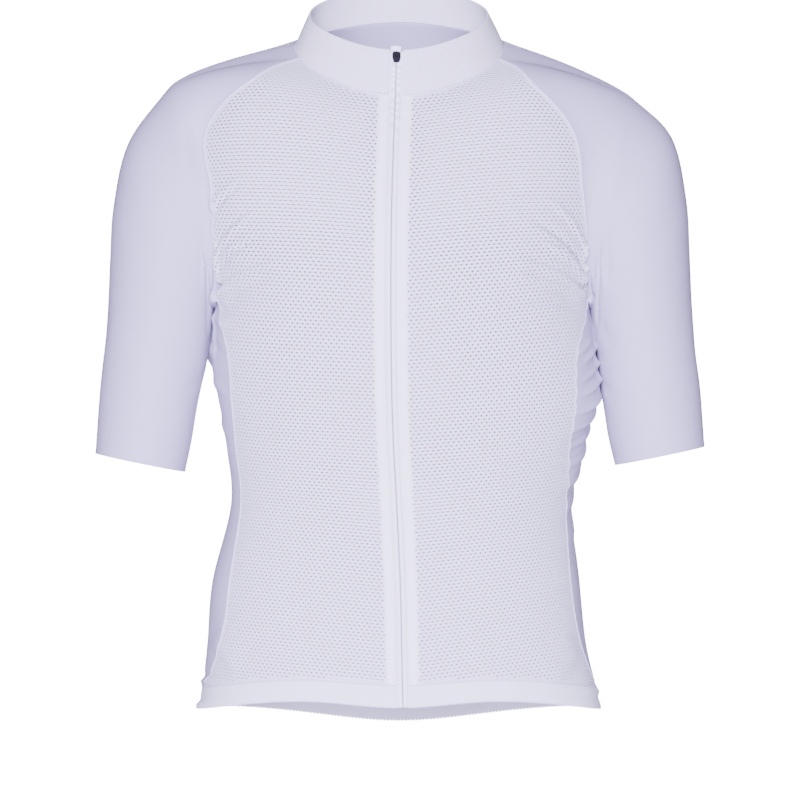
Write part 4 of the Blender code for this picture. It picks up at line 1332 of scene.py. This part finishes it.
def sleeve_grid(side, crease_depth):
    """Grid of the sleeve, from the armhole to the cuff, with a column for each place.

    It leaves the armhole in line with the body over the shoulder, and straight for the
    arm below.
    """
    angle, level, alpha = armhole_places(side)
    start = form(angle, level, crease_depth)[0]
    normal = form_normal(angle, level)
    cap = arm_point(side, 0.0, alpha)
    to_cap = cap - start
    distance = np.linalg.norm(to_cap, axis=-1)
    away = unit(to_cap - normal * dot(to_cap, normal)[:, None])
    in_line = 1 - smooth_step((np.abs(half_turns(alpha)) - IN_LINE_TO) / IN_LINE_OVER)
    outward = one_degree(angle, level) * np.where(np.abs(angle) > 90, -1, 1)[:, None]
    if side == "right":
        outward = -outward
    onward = smooth_step((dot(away, unit(outward)) - ONWARD_FROM) / ONWARD_OVER)
    in_line = np.where(level < NECK, in_line * onward, in_line)[:, None]
    start_slope = away * distance[:, None] * in_line + to_cap * (1 - in_line)
    end_slope = (arm_point(side, 0.5, alpha) - cap) * 2.0
    length = np.linalg.norm(end_slope, axis=-1)
    end_slope *= np.minimum(1.0, CAP_SLOPE * distance / np.maximum(length, 1e-6))[:, None]
    t = (np.arange(CAP_ROWS) / CAP_ROWS)[:, None, None]
    gap = SEAM_GAP / 2 / np.maximum(np.linalg.norm(start_slope, axis=-1), 0.3)
    t = np.maximum(t, np.minimum(gap, 0.5)[None, :, None])
    upper = hermite(start, cap, start_slope, end_slope, t)
    ring = np.linspace(0, len(ARM_RINGS) - 1, ARM_ROWS)[:, None]
    grid = np.concatenate((upper, arm_point(side, ring, alpha[None, :])))
    for _ in range(EASE_ROUNDS):
        inner = grid[4:-2]
        around = 0.5 * (np.roll(inner, 1, 1) + np.roll(inner, -1, 1))
        along = 0.5 * (grid[3:-3] + grid[5:-1])
        grid[4:-2] = 0.5 * inner + 0.25 * around + 0.25 * along
    share = np.concatenate((CAP_SHARE * np.arange(CAP_ROWS) / CAP_ROWS,
                            np.linspace(CAP_SHARE, 1, ARM_ROWS)))
    return grid, alpha, share[:, None]


def sleeve_rise(share, alpha, creases, crease_depth):
    """Heights of a sleeve's creases."""
    total = 0.0
    for alpha_1, share_1, alpha_2, share_2, bow, width, height in creases:
        turned = half_turns(alpha[None, :] - 0.5 * (alpha_1 + alpha_2))
        place = np.stack((np.radians(turned) * ARM_RADIUS + 0 * share,
                          share * SLEEVE_LENGTH + 0 * turned), -1)
        half = math.radians(0.5 * (alpha_2 - alpha_1)) * ARM_RADIUS
        total = total + ridge(np.array((-half, share_1 * SLEEVE_LENGTH)),
                              np.array((half, share_2 * SLEEVE_LENGTH)), place,
                              bow, width, height, True)
    total = total * smooth_step(share / 0.15)
    around = np.abs(half_turns(alpha[None, :]))
    low = (smooth_step((around - UNDER_FROM) / UNDER_OVER)
           * smooth_step((UNDER_TO - around) / UNDER_FADE))
    groove = bell(share, GROOVE_AT, GROOVE_HALF) * smooth_step(share / 0.03)
    tuck = bell(share, TUCK_AT, TUCK_HALF) * smooth_step(share / 0.01)
    return (total - low * (UNDERARM_GROOVE * groove + SEAM_TUCK * tuck)) * crease_depth


def grid_normals(grid):
    around = np.roll(grid, -1, 1) - np.roll(grid, 1, 1)
    up = np.empty_like(grid)
    up[1:-1] = grid[2:] - grid[:-2]
    up[0], up[-1] = grid[1] - grid[0], grid[-1] - grid[-2]
    return unit(np.cross(around, up))


class JERSEY_OT_sleeves(bpy.types.Operator):
    """Raglan sleeves with raw-cut cuffs"""
    bl_idname = "jersey.sleeves"
    bl_label = "Sleeves"

    def execute(self, context):
        cloth = context.scene.jersey_cloth
        finish = shared_finish("smooth_knit_finish", smooth_knit, tuple(cloth.smooth_colour))
        for side in SIDES:
            grid, alpha, share = sleeve_grid(side, cloth.crease_depth)
            rise = sleeve_rise(share, alpha, SLEEVE_CREASES[side], cloth.crease_depth)
            smooth = sleeve_grid(side, 0.0)[0]
            under = int(np.argmin(np.abs((alpha % 360) - 180)))
            grid, smooth, rise = [np.roll(item[::-1], -under, 1)
                                  for item in (grid, smooth, rise)]
            if side == "left":
                grid, smooth, rise = grid[:, ::-1], smooth[:, ::-1], rise[:, ::-1]
            grid = grid + grid_normals(grid) * rise[..., None]
            cut_piece("sleeve_" + side, "smooth_knit", grid, CLOTH, finish,
                      ["front_" + side, "back"], closed=True, smooth=smooth)
        return {"FINISHED"}


# ---- zip -----------------------------------------------------------------------------
PUCKER_LOW, PUCKER_HIGH = 0.15, 0.75         # height of the tapes' ripple, and its growth
RIPPLE_AT, RIPPLE_HALF = 2.2, 2.2            # where across a tape it is highest
SWAY = 0.8                                   # sideways, in shares of the ripple
GARAGE_MIDDLE, GARAGE_HALF = -0.5, 4.5       # of the flap, across
GARAGE_LIFT, GARAGE_SAG = 1.4, 0.3           # its height over the cloth, less at its ends
GARAGE_ROUND = 0.3                           # share that its upper corners are lower
METAL_EDGES = (("zip_slider", 0.18), ("pull_tab", 0.3))      # width of the rounding


def zip_line(level, offset, depth, sway=0.0):
    """Points at an offset from the zip's middle, a depth below the cloth's face."""
    angle = zip_angle("left" if offset >= 0 else "right", abs(offset) + sway, level)
    normals = form_normal(angle, level)
    return smooth_form(angle, level) - normals * np.asarray(depth)[..., None], normals


class JERSEY_OT_zip(bpy.types.Operator):
    """Zip tapes, coil, flap over the top end, and the slider's finish"""
    bl_idname = "jersey.zip"
    bl_label = "Zip"

    def execute(self, context):
        values = context.scene.jersey_zip
        tape = woven_tape(tuple(values.tape_colour))
        level = np.linspace(0.0, COLLAR_TOP - TAPE_END_LEVELS, TAPE_ROWS)
        pucker = PUCKER_LOW + PUCKER_HIGH * smooth_step(level - PUCKER_LEVEL)
        for side, sign in (("left", 1), ("right", -1)):
            columns = []
            for offset, depth in TAPE_PROFILE:
                raised = pucker * math.exp(-((offset - RIPPLE_AT) / RIPPLE_HALF) ** 2)
                ripple = raised * np.sin(level * 21 + sign * 1.1 + 2 * np.sin(level * 5))
                sway = SWAY * raised * np.sin(level * 13 + 2.4 * sign + 0.8 * offset)
                sway = sway * (1.5 < offset < 4.5)
                columns.append(zip_line(level, sign * offset, depth + ripple, sway)[0])
            points = np.stack(columns[::sign], 1)
            cut_piece("zip_tape_" + side, "zip_tape", points, TAPE_WALL, tape,
                      ["front_" + side], strip=True)
        self.coil(values.coil_pitch / MM)
        self.flap(tape)
        metal = painted_metal(tuple(values.metal_colour))
        for name, rounding in METAL_EDGES:
            piece = bpy.data.objects[name]
            piece.data.materials.clear()
            piece.data.materials.append(metal)
            joined = piece.modifiers.new("joined", "WELD")
            joined.merge_threshold = 0.01 * MM
            round_edges(piece, rounding, 3, SHARP_EDGE)
        return {"FINISHED"}

    def coil(self, pitch):
        """Teeth of both sides, behind the tapes."""
        level = np.linspace(0.04, COLLAR_TOP - 0.5, COIL_ROWS)
        depth = np.full(COIL_ROWS, COIL_DEPTH)
        paths = [zip_line(level, middle, depth) for middle in (1.0, -1.0)]
        row_of_threads("zip_coil", paths, pitch, COIL_TOOTH, bpy.data.materials["thread_finish"])

    def flap(self, finish):
        """Small folded flap that shields the chin from the zip's top end."""
        level = np.linspace(COLLAR_TOP - GARAGE_LEVELS, COLLAR_TOP, 4)
        level = np.concatenate((level, np.full(8, float(COLLAR_TOP))))
        rise = np.concatenate((np.zeros(4), np.linspace(0.4, GARAGE_RISE, 8)))
        columns = []
        for offset in GARAGE_MIDDLE + np.linspace(-1, 1, 14) * GARAGE_HALF:
            sag = ((offset - GARAGE_MIDDLE) / GARAGE_HALF) ** 2
            depth = np.full(level.shape, GARAGE_SAG * sag - GARAGE_LIFT)
            points, _ = zip_line(level, offset, depth)
            points[:, 2] += rise * (1 - GARAGE_ROUND * sag)
            columns.append(points)
        made, _, _ = cloth_shell("zip_garage", np.stack(columns, 1), GARAGE_WALL, finish,
                                 strip=True)
        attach(made, "garment")
        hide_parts("zip_garage")


# ---- threads and seams ---------------------------------------------------------------
STITCH_LIFT = 0.05           # middle of the stitches above the cloth's face
PUCKER, PUCKER_RISE = 0.45, 0.25     # of the side seams, sideways and outwards
PUCKER_FROM, PUCKER_OVER = 3.6, 0.8  # levels over which its long waves come in
LONG_WAVES, SHORT_WAVES, SHORT_HEIGHT = 17.6, 41.0, 0.4
BESIDE_ZIP = 1.9             # the fronts' stitches lie this far from their edge
HEM_STITCHES = (0.17, -0.17)         # levels of the rows, from the band's seam
COLLAR_STITCHES = 0.14               # and from the neck seam
POCKET_STITCHES = (0.16, 0.2)        # below the pockets' mouths
FINE, COARSE = 700, 420              # points along a line all round the body


def thread_tree():
    """Geometry nodes: one thread after another along curves."""
    given, add, _, attribute, dress = tree_with("threads", (
        ("Pitch", "Float"), ("Along", "Float"), ("Across", "Float"), ("Height", "Float")))
    curve = add("GeometryNodeMeshToCurve", Mesh=given["Geometry"])
    even = add("GeometryNodeResampleCurve", {"mode": "LENGTH"}, Curve=curve.outputs[0],
               Length=given["Pitch"])
    thread = add("GeometryNodeMeshUVSphere", Segments=6, Rings=4, Radius=0.5)
    tangent = add("GeometryNodeInputTangent")
    turn = add("FunctionNodeAxesToRotation", {"primary_axis": "Z", "secondary_axis": "X"},
               Primary_Axis=attribute("up", "FLOAT_VECTOR"), Secondary_Axis=tangent.outputs[0])
    size = add("ShaderNodeCombineXYZ", X=given["Along"], Y=given["Across"], Z=given["Height"])
    spread = add("GeometryNodeInstanceOnPoints", Points=even.outputs[0],
                 Instance=thread.outputs["Mesh"], Rotation=turn.outputs[0],
                 Scale=size.outputs[0])
    return dress(add("GeometryNodeRealizeInstances", Geometry=spread.outputs[0]).outputs[0])


def seam_tree():
    """Geometry nodes: a low rounded ridge along curves, with its own UV map."""
    given, add, maths, attribute, dress = tree_with("seams", (
        ("Width", "Float"), ("Rise", "Float")))
    curve = add("GeometryNodeMeshToCurve", Mesh=given["Geometry"])
    upright = add("GeometryNodeSetCurveNormal", {"mode": "FREE"}, Curve=curve.outputs[0],
                  Normal=attribute("up", "FLOAT_VECTOR"))
    line = add("GeometryNodeCurvePrimitiveLine", Start=(0, -0.5, 0), End=(0, 0.5, 0))
    fine = add("GeometryNodeResampleCurve", {"mode": "COUNT"}, Curve=line.outputs[0], Count=9)
    place = add("GeometryNodeInputPosition")
    share = add("ShaderNodeSeparateXYZ", Vector=place.outputs[0]).outputs["Y"]
    across = maths("MULTIPLY", share, given["Width"])
    shape = maths("MULTIPLY_ADD", maths("MULTIPLY", share, share), -6.0, 1.0)
    spot = add("ShaderNodeCombineXYZ", X=maths("MULTIPLY", shape, given["Rise"]), Y=across)
    mark = add("GeometryNodeStoreNamedAttribute", {"data_type": "FLOAT", "domain": "POINT"},
               Geometry=fine.outputs[0], Name="across", Value=across)
    bent = add("GeometryNodeSetPosition", Geometry=mark.outputs[0], Position=spot.outputs[0])
    swept = add("GeometryNodeCurveToMesh", Curve=upright.outputs[0],
                Profile_Curve=bent.outputs[0])
    cut = add("ShaderNodeCombineXYZ", X=maths("DIVIDE", attribute("across", "FLOAT"), MM),
              Y=maths("DIVIDE", attribute("along", "FLOAT"), MM))
    unwrapped = add("GeometryNodeStoreNamedAttribute", {"data_type": "FLOAT2", "domain": "CORNER"},
                    Geometry=swept.outputs[0], Name="cut", Value=cut.outputs[0])
    return dress(unwrapped.outputs[0])


def path_object(name, paths):
    """Lines of points with their outward directions, as one object."""
    points = np.concatenate([path[0] for path in paths])
    ups = np.concatenate([path[1] for path in paths])
    along = np.concatenate([np.concatenate(((0.0,), np.cumsum(np.linalg.norm(
        np.diff(path[0], axis=0), axis=1)))) for path in paths])
    edges, start = [], 0
    for path in paths:
        count = len(path[0])
        edges += [(start + place, start + place + 1) for place in range(count - 1)]
        start += count
    mesh = bpy.data.meshes.new(name)
    mesh.from_pydata((points * MM).tolist(), edges, [])
    mesh.attributes.new("up", "FLOAT_VECTOR", "POINT").data.foreach_set("vector", ups.ravel())
    mesh.attributes.new("along", "FLOAT", "POINT").data.foreach_set("value", along * MM)
    return link_object(name, mesh)


def grow(made, tree, values):
    """Runs a tree on an object and keeps the result as its plain mesh."""
    modifier = made.modifiers.new("grow", "NODES")
    modifier.node_group = tree
    for name, value in values.items():
        set_input(modifier, name, value)
    settle(made)
    for label in ("up", "along", "across"):
        if label in made.data.attributes:
            made.data.attributes.remove(made.data.attributes[label])
    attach(made, "garment")
    return made


def row_of_threads(name, paths, pitch, shape, finish):
    tree = bpy.data.node_groups.get("threads") or thread_tree()
    along, across, height = shape
    return grow(path_object(name, paths), tree,
                {"Pitch": pitch * MM, "Along": along * MM, "Across": across * MM,
                 "Height": height * MM, "Finish": finish})


def flat_seam(name, paths, width, rise, finish):
    tree = bpy.data.node_groups.get("seams") or seam_tree()
    return grow(path_object(name, paths), tree,
                {"Width": width * MM, "Rise": rise * MM, "Finish": finish})


def form_path(angle, level, lift, crease_depth):
    points, normals = form(angle, level, crease_depth)
    return points + normals * lift, normals


def side_lines(side, depth):
    """Front and back seam lines of a side, slightly puckered."""
    level = np.linspace(BAND_SEAM + 0.02, ARMHOLE, 260)
    drawn = smooth_step((level - PUCKER_FROM) / PUCKER_OVER)
    pucker = drawn * np.sin(level * LONG_WAVES) + SHORT_HEIGHT * np.sin(level * SHORT_WAVES)
    rise = (PUCKER_RISE * (1 + pucker))[:, None]
    lines = []
    for angle in (front_seam(side, level), back_seam(side, level)):
        moved = angle + arc_step(angle, level, PUCKER * pucker)
        lines.append(form_path(moved, level, rise, depth))
    return lines


def raglan_line(side, depth):
    """Open line round an armhole, from the back of the neck, under the arm, to its front."""
    angle, level, _ = armhole_places(side, raglan=150, under=60)
    angle = np.append(angle[NECK_PLACES:], front_seam(side, float(NECK)))
    level = np.append(level[NECK_PLACES:], float(NECK))
    return form_path(angle, level, 0.0, depth)


def round_line(level, depth, lift, count=COARSE, inset=0.0):
    """Line all round the body at one level, from zip to zip."""
    edge = ZIP_OPEN_HALF + SEAM_GAP / 2 + inset
    first = float(zip_angle("left", edge, level))
    last = 360 + float(zip_angle("right", edge, level))
    angle = np.linspace(first, last, count)
    return form_path(angle, np.full(count, float(level)), lift, depth)


class JERSEY_OT_threads(bpy.types.Operator):
    """Sewing thread used by the zip and the seams"""
    bl_idname = "jersey.threads"
    bl_label = "Thread"

    def execute(self, context):
        sewing_thread(tuple(context.scene.jersey_sewing.thread_colour))
        return {"FINISHED"}


class JERSEY_OT_sewing(bpy.types.Operator):
    """Flat seams between the pieces, and rows of stitches"""
    bl_idname = "jersey.sewing"
    bl_label = "Seams and stitches"

    def execute(self, context):
        sewing = context.scene.jersey_sewing
        depth = context.scene.jersey_cloth.crease_depth
        cover = seam_cover(tuple(sewing.thread_colour))
        wide = sewing.seam_width / MM
        raglans = [raglan_line(side, depth) for side in SIDES]
        sides = [line for side in SIDES for line in side_lines(side, depth)]
        for name, lines, share, rise in (
                ("raglan_seams", raglans, 1.0, 0.55), ("side_seams", sides, 0.8, 0.45),
                ("neck_seam", [round_line(NECK, depth, 0.0)], 1.0, 0.6),
                ("hem_seam", [round_line(BAND_SEAM, depth, 0.0, FINE)], 0.9, 0.5)):
            flat_seam(name, lines, wide * share, rise, cover)
        self.stitches(sewing, depth)
        return {"FINISHED"}

    def stitches(self, sewing, depth):
        """Rows of stitches beside the zip and the seams, and the picot edge of the hem."""
        width, pitch = sewing.thread_width / MM, sewing.stitch_pitch / MM
        stitch = (pitch * 0.72, width, width * 0.7)
        level = np.linspace(BAND_SEAM + 0.02, COLLAR_TOP - 0.03, 330)
        over = np.full(330, -STITCH_LIFT)
        beside = ZIP_OPEN_HALF + BESIDE_ZIP
        zip_rows = [zip_line(level, offset, over) for offset in (beside, -beside)]
        hem = [round_line(BAND_SEAM + shift, depth, STITCH_LIFT, FINE, 1.0)
               for shift in HEM_STITCHES]
        collar = [round_line(NECK + COLLAR_STITCHES, 0.0, 0.1, COARSE, 1.0)]
        level = np.linspace(BAND_SEAM + 0.1, POCKET_LEVEL - 0.02, 160)
        pockets = [pocket_line(level, np.full(160, place / POCKETS + shift), depth)
                   for place in range(1, POCKETS) for shift in (-0.004, 0.004)]
        share = np.linspace(0.012, 0.988, 420)
        pockets += [pocket_line(np.full(420, POCKET_LEVEL - down), share, depth)
                    for down in POCKET_STITCHES]
        picots = [round_line(0.0, depth, -0.6, 900)]
        for name, lines, apart, shape in (
                ("stitches_zip", zip_rows, pitch, stitch), ("stitches_hem", hem, pitch, stitch),
                ("stitches_collar", collar, pitch, stitch),
                ("stitches_pockets", pockets, pitch, stitch),
                ("hem_picots", picots, PICOT_PITCH, PICOT)):
            row_of_threads(name, lines, apart, shape, bpy.data.materials["thread_finish"])


# ---- stage, in metres ----------------------------------------------------------------
FLOOR_RADIUS, FLOOR_Z = 1.3, -0.80
LIGHTS = (("key", 1.3, (-0.42, -3.5, 0.2)),      # name, size and place
          ("fill", 1.1, (0.45, -3.4, 0.35)),
          ("back", 1.4, (0.3, 3.5, 0.4)))
LIGHTS_AIM = Vector((0, 0, -0.32))
CAMERA_DISTANCE, CAMERA_Z = 4.0, -0.323
FRAME_HALF = 0.352           # half of what the picture shows at the origin


class JERSEY_OT_stage(bpy.types.Operator):
    """Pale floor, soft lights and the camera"""
    bl_idname = "jersey.stage"
    bl_label = "Stage"

    def execute(self, context):
        values = context.scene.jersey_stage
        rgb = tuple(values.floor_colour)
        finish = Finish("floor", Roughness=0.9, Base_Color=rgb)
        finish.paint(finish.noise(finish.place(), 60.0), rgb, 0.98)
        mesh = bpy.data.meshes.new("floor")
        work = bmesh.new()
        bmesh.ops.create_circle(work, cap_ends=True, segments=96, radius=FLOOR_RADIUS)
        work.to_mesh(mesh)
        work.free()
        mesh.materials.append(finish.material)
        floor = link_object("floor", mesh)
        floor.location = (0, 0, FLOOR_Z)
        for name, size, place in LIGHTS:
            light = bpy.data.lights.new(name, "AREA")
            light.energy = getattr(values, name + "_power")
            light.color, light.size = values.light_colour, size
            made = link_object(name, light)
            made.location = place
            to_aim = LIGHTS_AIM - Vector(place)
            made.rotation_euler = to_aim.to_track_quat("-Z", "Y").to_euler()
        lens = bpy.data.cameras.new("camera")
        lens.sensor_fit = "HORIZONTAL"
        lens.angle = 2 * math.atan(FRAME_HALF / CAMERA_DISTANCE)
        camera = link_object("camera", lens)
        camera.location = (0, -CAMERA_DISTANCE, CAMERA_Z)
        camera.rotation_euler = (math.radians(90), 0, 0)
        context.scene.camera = camera
        self.surround(context.scene, values)
        return {"FINISHED"}

    def surround(self, scene, values):
        """Even dim light from all round, before a plain white backdrop."""
        world = bpy.data.worlds.new("surround")
        world.use_nodes = True
        scene.world = world
        nodes, links = world.node_tree.nodes, world.node_tree.links
        around, behind = nodes["Background"], nodes.new("ShaderNodeBackground")
        for node, rgb, strength in ((around, tuple(values.surround_colour), values.surround),
                                    (behind, (1.0, 1.0, 1.0), values.backdrop)):
            node.inputs["Color"].default_value = (*rgb, 1.0)
            node.inputs["Strength"].default_value = strength
        path = nodes.new("ShaderNodeLightPath")
        choice = nodes.new("ShaderNodeMixShader")
        for place, socket in enumerate((path.outputs["Is Camera Ray"], around.outputs[0],
                                        behind.outputs[0])):
            links.new(socket, choice.inputs[place])
        links.new(choice.outputs[0], nodes["World Output"].inputs["Surface"])


# ---- panel and registration ----------------------------------------------------------
OPERATORS = (JERSEY_OT_threads, JERSEY_OT_fronts, JERSEY_OT_body, JERSEY_OT_trims,
             JERSEY_OT_sleeves, JERSEY_OT_zip, JERSEY_OT_sewing, JERSEY_OT_stage)
GROUPS = (("jersey_cloth", JerseyCloth), ("jersey_sewing", JerseySewing),
          ("jersey_zip", JerseyZip), ("jersey_stage", JerseyStage))


class JERSEY_PT_panel(bpy.types.Panel):
    """Sizes, colours and steps of the jersey"""
    bl_idname = "JERSEY_PT_panel"
    bl_label = "Jersey"
    bl_space_type = "VIEW_3D"
    bl_region_type = "UI"
    bl_category = "Jersey"

    def draw(self, context):
        for operator in OPERATORS:
            self.layout.operator(operator.bl_idname)
        for name, group in GROUPS:
            box = self.layout.box()
            for key in group.__annotations__:
                box.prop(getattr(context.scene, name), key)


def register():
    for name, group in GROUPS:
        bpy.utils.register_class(group)
        setattr(bpy.types.Scene, name, PointerProperty(type=group))
    for item in (*OPERATORS, JERSEY_PT_panel):
        bpy.utils.register_class(item)


def unregister():
    for item in (JERSEY_PT_panel, *reversed(OPERATORS)):
        bpy.utils.unregister_class(item)
    for name, group in reversed(GROUPS):
        delattr(bpy.types.Scene, name)
        bpy.utils.unregister_class(group)


def main():
    register()
    for operator in OPERATORS:
        area, name = operator.bl_idname.split(".")
        getattr(getattr(bpy.ops, area), name)()


if __name__ == "__main__":
    main()
